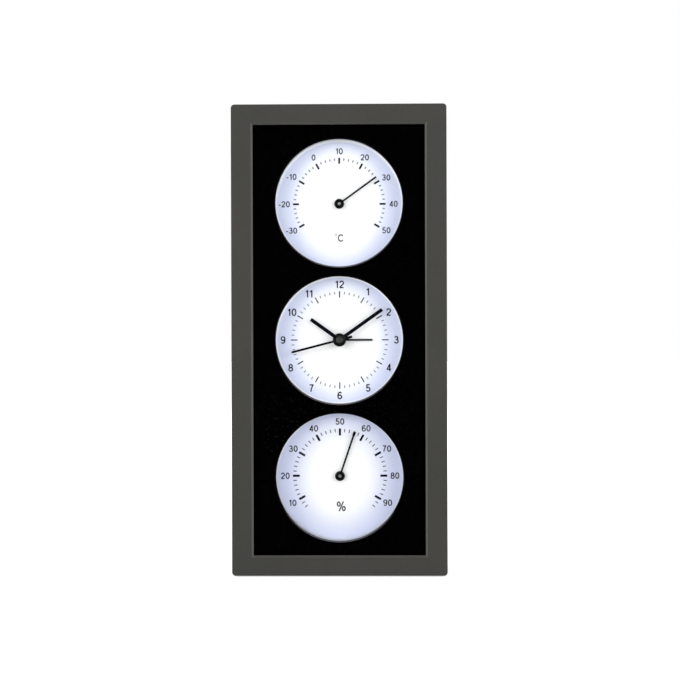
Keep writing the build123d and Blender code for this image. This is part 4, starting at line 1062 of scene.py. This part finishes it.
def make_cover_screws():
    """Pan-head screws with cross recesses and threaded shanks."""
    low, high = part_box("rear_cover_screws")
    seat, inset = high.y - SCREW_HEAD_HEIGHT, SCREW_HEAD_RADIUS
    heads, cutters = bmesh.new(), bmesh.new()
    profile = [(0.0, low.y), (SCREW_TIP_RADIUS, low.y + SCREW_TIP_LENGTH)]
    thread = low.y + SCREW_THREAD_START
    while thread < seat - SCREW_THREAD_SPACING:
        profile.append((SCREW_SHANK_RADIUS * SCREW_ROOT_SHARE, thread))
        profile.append((SCREW_SHANK_RADIUS, thread + SCREW_THREAD_SPACING / 2))
        thread += SCREW_THREAD_SPACING
    profile.append((SCREW_SHANK_RADIUS * SCREW_ROOT_SHARE, seat))
    for radius, rise in SCREW_HEAD_DOME:
        profile.append((SCREW_HEAD_RADIUS * radius, seat + SCREW_HEAD_HEIGHT * rise))
    for x in (low.x + inset, high.x - inset):
        for z in (low.z + inset, high.z - inset):
            place = Vector((x, 0, z))
            turned(heads, ring_about(place, SCREW_HEAD_TURN), profile, SCREW_SEGMENTS)
            outline = cross_outline(place, SCREW_CROSS_REACH, SCREW_CROSS_WIDTH)
            prism(cutters, outline, high.y - SCREW_CROSS_DEPTH, high.y + 1 * MM)
    screws = piece(
        "cover_screws", heads, [steel], replaced=("rear_cover_screws",), slot="screw_steel"
    )
    cut_recesses(screws, cutters)


def make_knob_grip(node):
    """A fluted grip with a dished end, over a knob's solid."""
    axis = middle(node)
    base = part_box(node)[1].y - KNOB_HEIGHT
    mesh = bmesh.new()

    def ring(radius, angle, depth):
        flute = KNOB_FLUTE_DEPTH if radius > KNOB_FLUTED_FROM else 0
        wave = cos(radians(KNOB_FLUTES * (angle - KNOB_FLUTE_TURN)))
        return around(axis, radius + flute * wave, angle, depth)

    profile = [(radius * MM, base + rise * MM) for radius, rise in KNOB_PROFILE]
    turned(mesh, ring, profile, KNOB_SEGMENTS)
    piece(f"{node}_grip", mesh, [knob_black], node, slot="knob_plastic")


def make_battery():
    """A cell in a shrunk jacket, with rolled edges, a gasket and a plus nub."""
    low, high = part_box("battery")
    axis = (low + high) / 2
    radius = (high.y - low.y) / 2
    shoulder = high.x - CELL_NUB_LENGTH

    def ring(distance, angle, depth):
        turn = radians(angle)
        return depth, axis.y + distance * cos(turn), axis.z + distance * sin(turn)

    mesh = bmesh.new()
    groove = radius - CELL_FILM
    jacket = [(0, low.x), (radius * 0.78, low.x), (radius * 0.86, low.x + 0.1 * MM)]
    jacket += [(groove, low.x + 0.1 * MM), (radius, low.x + 0.3 * MM), (radius, low.x + 1.1 * MM)]
    jacket += [(groove, low.x + 1.4 * MM), (radius, low.x + 1.7 * MM)]
    jacket += [(radius, shoulder - 1.6 * MM), (groove, shoulder - 1.3 * MM)]
    jacket += [(radius, shoulder - 1.0 * MM), (radius, shoulder - 0.3 * MM)]
    jacket += [(groove, shoulder - 0.1 * MM), (radius * 0.8, shoulder - 0.1 * MM)]
    steel_end = [(radius * 0.62, shoulder), (CELL_NUB_RADIUS, shoulder)]
    steel_end += [(CELL_NUB_RADIUS, high.x - 0.3 * MM), (CELL_NUB_RADIUS - 0.3 * MM, high.x)]
    steel_end += [(0, high.x)]
    profile = jacket + steel_end
    turned(mesh, ring, profile, CELL_SEGMENTS, last_index=1, last_bands=len(steel_end))
    for face in mesh.faces:
        # The minus end is bare metal as far as the jacket's rolled edge
        if all(vert.co.x < low.x + 0.11 * MM for vert in face.verts):
            face.material_index = 1

    def on_jacket(across, up, rise):
        """A point of a sign on the jacket, seen from behind and raised twice as high as print."""
        return -across, axis.y + sqrt(radius**2 - (up - axis.z) ** 2) + 2 * rise, up

    for sign, x in (("+", shoulder - CELL_SIGN_INSET), ("-", low.x + CELL_SIGN_INSET)):
        place = (-x, axis.z)
        lettering(mesh, sign, CELL_SIGN_SIZE, place, on_jacket, 2, weight=CELL_SIGN_WEIGHT)
    piece(
        "battery_cell",
        mesh,
        [jacket_finish(high.x), nickel, white_ink],
        replaced=("battery",),
        slot="cell_jacket",
    )


def bell_strokes(x, z, size):
    """A bell's outline and its clapper."""
    outline = [(-1.0, -0.7), (-0.72, -0.4), (-0.66, 0.25)] + arc(0, 0.25, 0.66, 0.7, 180, 0, 12)
    outline += [(0.72, -0.4), (1.0, -0.7), (-1.0, -0.7)]
    clapper = arc(0, -0.78, 0.26, 0.3, 180, 360, 6)
    return [[(x + u * size, z + v * size) for u, v in points] for points in (outline, clapper)]


def clock_strokes(x, z, size):
    """A small clock face with two hands."""
    face = arc(0, 0, 0.95, 0.95, 0, 360, 24)
    hands = [(0, 0.6), (0, 0), (0.45, -0.2)]
    return [[(x + u * size, z + v * size) for u, v in points] for points in (face, hands)]


def turn_arrow(x, z, radius):
    """An arrow that runs under a knob, the way it is turned."""
    sweep = arc(x, z, radius, radius, *ARROW_SPAN, 20)
    tip = Vector(sweep[-1])
    along = (tip - Vector(sweep[-2])).normalized()
    across = Vector((-along.y, along.x))
    length, spread_out = ARROW_BARB
    back, side = tip - along * length, across * spread_out
    return [sweep, [(spot.x, spot.y) for spot in (back + side, tip, back - side)]]


def make_case_marks():
    """Moulded signs round the knobs, and ON and OFF over the alarm's switch."""
    mesh = bmesh.new()
    for node, sign in (("time_knob", clock_strokes), ("alarm_knob", bell_strokes)):
        axis = middle(node)
        strokes = sign(-axis.x, axis.z + SIGN_LIFT, SIGN_SIZE)
        strokes += turn_arrow(-axis.x, axis.z, ARROW_RADIUS)
        for points in strokes:
            stroke(mesh, points, MARK_WIDTH, on_case, height=MARK_HEIGHT)
    low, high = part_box("alarm_switch")
    up = high.z + SWITCH_LABEL_LIFT
    off, on = low.x + SWITCH_LABEL_INSET, high.x + ALARM_SWITCH_TRAVEL - SWITCH_LABEL_INSET
    for text, x in (("OFF", off), ("ON", on)):
        place = (-x, up)
        lettering(mesh, text, SWITCH_LABEL_SIZE, place, on_case, weight=SWITCH_LABEL_WEIGHT)
    piece("case_marks", mesh, [white_ink], slot="movement_plastic")


# Studio: floor, lamps and camera


def background_share(tree):
    """1 for the rays that show the background: from the camera, off gloss or through glass."""
    rays = tree.nodes.new("ShaderNodeLightPath").outputs
    seen = calculate(tree, "MAXIMUM", rays["Is Camera Ray"], rays["Is Glossy Ray"])
    return calculate(tree, "MAXIMUM", seen, rays["Is Transmission Ray"])


def studio_finish():
    """White paper that keeps the object's shadow, and reads as white away from it."""
    material, tree, shader = material_parts("studio_paper")
    vector = place_vector(tree)
    tooth = noise(tree, vector, 1.5, detail=3.0)
    shade = blend_colours(tree, spread(tree, tooth, 0, 1), (0.89,) * 3, (0.91,) * 3)
    tree.links.new(shade, shader.inputs["Base Color"])
    shader.inputs["Roughness"].default_value = 0.9
    shader.inputs["Specular IOR Level"].default_value = 0.1
    distance = distance_from(tree, vector, (0, 0, 0))
    glow = spread(tree, distance, 0.62, 1.0, start=150, end=900)
    shader.inputs["Emission Color"].default_value = (1, 1, 1, 1)
    strength = calculate(tree, "MULTIPLY", glow, background_share(tree))
    tree.links.new(strength, shader.inputs["Emission Strength"])
    return material


def make_floor():
    """A wide round floor under the object."""
    mesh = bmesh.new()
    rows = []
    for radius in FLOOR_RINGS:
        row = []
        for step in range(FLOOR_SEGMENTS):
            turn = step * 2 * pi / FLOOR_SEGMENTS
            row.append(mesh.verts.new((radius * cos(turn), radius * sin(turn), 0)))
        rows.append(row)
    mesh.faces.new(rows[0])
    for first, second in zip(rows, rows[1:]):
        for step in range(FLOOR_SEGMENTS):
            after = (step + 1) % FLOOR_SEGMENTS
            mesh.faces.new((first[step], second[step], second[after], first[after]))
    floor = mesh_object("studio_floor", mesh)
    floor.data.materials.append(studio_finish())


def make_world():
    """A dim surround that is white where it is seen."""
    world = bpy.data.worlds.new("studio_world")
    bpy.context.scene.world = world
    world.use_nodes = True
    tree = world.node_tree
    background = tree.nodes["Background"]
    background.inputs["Color"].default_value = (1, 1, 1, 1)
    strength = spread(tree, background_share(tree), SURROUND_LIGHT, 1.0, start=0, end=1)
    tree.links.new(strength, background.inputs["Strength"])


def make_lamps():
    """Rectangular soft lamps that face the middle of the object."""
    for name, (place, size, power) in LAMPS.items():
        light = bpy.data.lights.new(name, "AREA")
        light.shape = "RECTANGLE"
        light.size, light.size_y = size
        light.energy = power
        holder = bpy.data.objects.new(name, light)
        bpy.context.scene.collection.objects.link(holder)
        holder.location = place
        aim = Vector((0, 0, centres["clock"].z)) - Vector(place)
        holder.rotation_euler = aim.to_track_quat("-Z", "Y").to_euler()


def make_camera():
    """The photograph's camera."""
    data = bpy.data.cameras.new("camera")
    data.sensor_width = SENSOR_WIDTH
    data.lens = FOCAL_PIXELS / IMAGE_WIDTH * SENSOR_WIDTH
    data.clip_start = 0.01
    camera = bpy.data.objects.new("camera", data)
    bpy.context.scene.collection.objects.link(camera)
    turn = Matrix.Rotation(radians(CAMERA_YAW), 4, "Z")
    turn = turn @ Matrix.Rotation(radians(90 + CAMERA_PITCH), 4, "X")
    turn = turn @ Matrix.Rotation(radians(CAMERA_ROLL), 4, "Z")
    camera.matrix_world = Matrix.Translation(CAMERA_PLACE) @ turn
    bpy.context.scene.camera = camera


thermometer_printing()
clock_printing()
hygrometer_printing()
make_hands()
make_cover_screws()
make_knob_grip("time_knob")
make_knob_grip("alarm_knob")
make_battery()
make_case_marks()
make_floor()
make_world()
make_lamps()
make_camera()
bpy.context.scene.view_settings.view_transform = "Standard"
